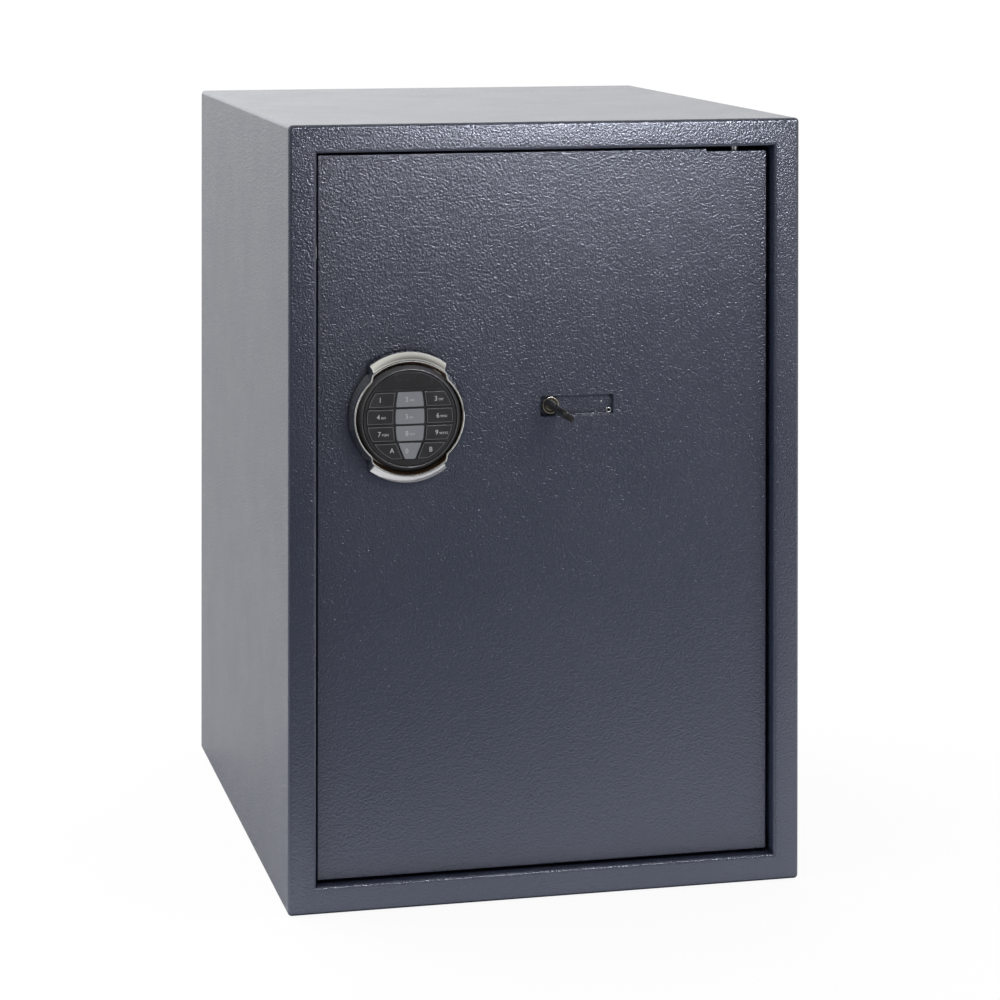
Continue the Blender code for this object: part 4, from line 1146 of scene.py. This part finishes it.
def floor_material():
    """White to the camera. To the object it is pale, with painted shade further in front, and glows close in
    front.
    """
    nodes = surface("floor_looks")
    pale = nodes.mix(nodes.noise(3, 3), (0.80, 0.80, 0.80), (0.82, 0.82, 0.82))
    aslant = nodes.maths("ADD", nodes.along("Y"), nodes.maths("MULTIPLY", nodes.along("X"), 0.5))
    near = nodes.ramp(aslant, -0.66, -0.34)
    ahead = nodes.maths("MULTIPLY", near, nodes.ramp(nodes.along("Y"), -0.235, -0.185, 1, 0))
    # Painted shade: for all but camera rays the floor turns dark further in front.
    nodes.set("Base Color", nodes.mix(near, FRONT_FLOOR_SHADE, pale))
    nodes.set("Roughness", 0.8)
    nodes.set("Emission Color", (1.0, 1.0, 1.0))
    nodes.set("Emission Strength", nodes.maths("MULTIPLY", ahead, NEAR_FLOOR_GLOW))
    paper = nodes.add("BsdfDiffuse", {"Color": SHOWN_FLOOR}).outputs["BSDF"]
    glow = nodes.add("Emission", {"Strength": SHOWN_FLOOR_GLOW}).outputs["Emission"]
    shown = nodes.add("AddShader", {0: paper, 1: glow}).outputs["Shader"]
    either = {"Fac": nodes.seen(), 1: nodes.shader.outputs["BSDF"], 2: shown}
    both = nodes.add("MixShader", either).outputs["Shader"]
    nodes.feed(nodes.tree.nodes["Material Output"].inputs["Surface"], both)
    return nodes.owner


FRONT_GLOOM = (0.050, 0.043, 0.038)
OVERHEAD_GLOW = (0.66, 0.655, 0.62)
BACKDROP_GLOW = (1.06, 1.06, 1.06)
FAR_LEFT_GLOW = (1.60, 1.60, 1.62)
SKY_STOPS = [(0.30, FRONT_GLOOM), (0.60, OVERHEAD_GLOW), (0.72, OVERHEAD_GLOW)]
SKY_STOPS += [(0.93, BACKDROP_GLOW), (0.985, FAR_LEFT_GLOW)]


def make_world():
    """White to the camera. To the object it is bright behind, above and beside it, and dim in front."""
    world = bpy.data.worlds.new("studio")
    bpy.context.scene.world = world
    nodes = Nodes(world, "Background", "Generated")
    behind = nodes.maths("MULTIPLY", nodes.along("Y"), 0.5)
    across = nodes.along("X")
    beside = nodes.maths("MULTIPLY", nodes.maths("POWER", nodes.maths("ABSOLUTE", across), 2), 0.24)
    left = nodes.maths("ADD", nodes.maths("MULTIPLY", across, -0.2), beside)
    up = nodes.maths("MULTIPLY", nodes.along("Z"), 0.25)
    around = nodes.maths("ADD", nodes.maths("ADD", behind, left), up)
    sky = nodes.add("ValToRGB", {"Fac": nodes.maths("ADD", around, 0.45)})
    sky.color_ramp.interpolation = "EASE"
    while len(sky.color_ramp.elements) < len(SKY_STOPS):
        sky.color_ramp.elements.new(0.5)
    for element, (position, colour) in zip(sky.color_ramp.elements, SKY_STOPS):
        element.position = position
        element.color = (*colour, 1)
    nodes.set("Color", nodes.mix(nodes.seen(), sky.outputs["Color"], (1.0, 1.0, 1.0)))
    nodes.set("Strength", 1.0)


def add_light(name, place, target, size, power, colour=(1, 1, 1)):
    light = bpy.data.lights.new(name, "AREA")
    light.shape = "RECTANGLE"
    light.size = size[0]
    light.size_y = size[1]
    light.energy = power
    light.color = colour
    item = bpy.data.objects.new(name, light)
    item.location = place
    item.rotation_euler = (Vector(target) - Vector(place)).to_track_quat("-Z", "Y").to_euler()
    item.visible_camera = False
    bpy.context.scene.collection.objects.link(item)
    return item


def link_light(light, piece, state):
    """Keep one piece out of a light's reach, or let the light reach that piece only."""
    group = bpy.data.collections.new(light.name + "_reach")
    group.objects.link(bpy.data.objects[piece])
    group.collection_objects[0].light_linking.link_state = state
    light.light_linking.receiver_collection = group


STRIP_TINT = (0.93, 0.96, 1.10)


def make_lights():
    """A strip above the front for the gloss, a glint for the bezel only, and a soft fill on each side."""
    strip = add_light("top_strip", (0.165, -0.72, 0.72), (0.05, -0.22, 0.45), (0.39, 0.08), 6.5, STRIP_TINT)
    strip.visible_diffuse = False
    link_light(strip, "turn_ring_surface", "EXCLUDE")
    glint = add_light("bezel_glint", (0.07, -0.70, 0.97), (RING_X, -0.22, RING_Z), (0.25, 0.15), 6)
    link_light(glint, "keypad_bezel_surface", "INCLUDE")
    add_light("side_fill", (1.7, -1.9, 1.0), (0, -0.2, 0.3), (1.6, 1.6), 7)
    add_light("left_fill", (-1.5, -1.1, 0.8), (0, -0.2, 0.3), (0.8, 0.8), 0.8)


CAMERA_PLACE = (-0.5418, -2.3051, 0.7043)
CAMERA_YAW = math.radians(13.217)
CAMERA_PITCH = math.radians(-0.343)
CAMERA_ROLL = math.radians(0.052)
CAMERA_LENS = 107.68
CAMERA_SHIFT = (0.0212, -0.5611)


def make_camera():
    data = bpy.data.cameras.new("camera")
    data.sensor_width = 36
    data.lens = CAMERA_LENS
    camera = bpy.data.objects.new("camera", data)
    camera.location = CAMERA_PLACE
    level = math.cos(CAMERA_PITCH)
    look = Vector((math.sin(CAMERA_YAW) * level, math.cos(CAMERA_YAW) * level, math.sin(CAMERA_PITCH)))
    turn = look.to_track_quat("-Z", "Y") @ Matrix.Rotation(CAMERA_ROLL, 4, "Z").to_quaternion()
    camera.rotation_mode = "QUATERNION"
    camera.rotation_quaternion = turn
    bpy.context.scene.collection.objects.link(camera)
    bpy.context.scene.camera = camera
    for index, name in enumerate(("shift_x", "shift_y")):
        drive_shift(camera, name, CAMERA_SHIFT[index])


def drive_shift(camera, name, value):
    """Shift the lens only while the camera stands at its main place."""
    driver = camera.data.driver_add(name).driver
    driver.type = "SCRIPTED"
    variable = driver.variables.new()
    variable.name = "along"
    variable.type = "TRANSFORMS"
    variable.targets[0].id = camera
    variable.targets[0].transform_type = "LOC_Y"
    variable.targets[0].transform_space = "WORLD_SPACE"
    driver.expression = f"{value} if abs(along - {CAMERA_PLACE[1]}) < 0.0005 else 0.0"


make_body_shell()
make_door_plate()
make_turn_ring()
make_keypad()
make_lock()
make_floor_mat()
dress_cad_nodes()
make_floor()
make_world()
make_lights()
make_camera()
bpy.context.scene.view_settings.view_transform = "Standard"
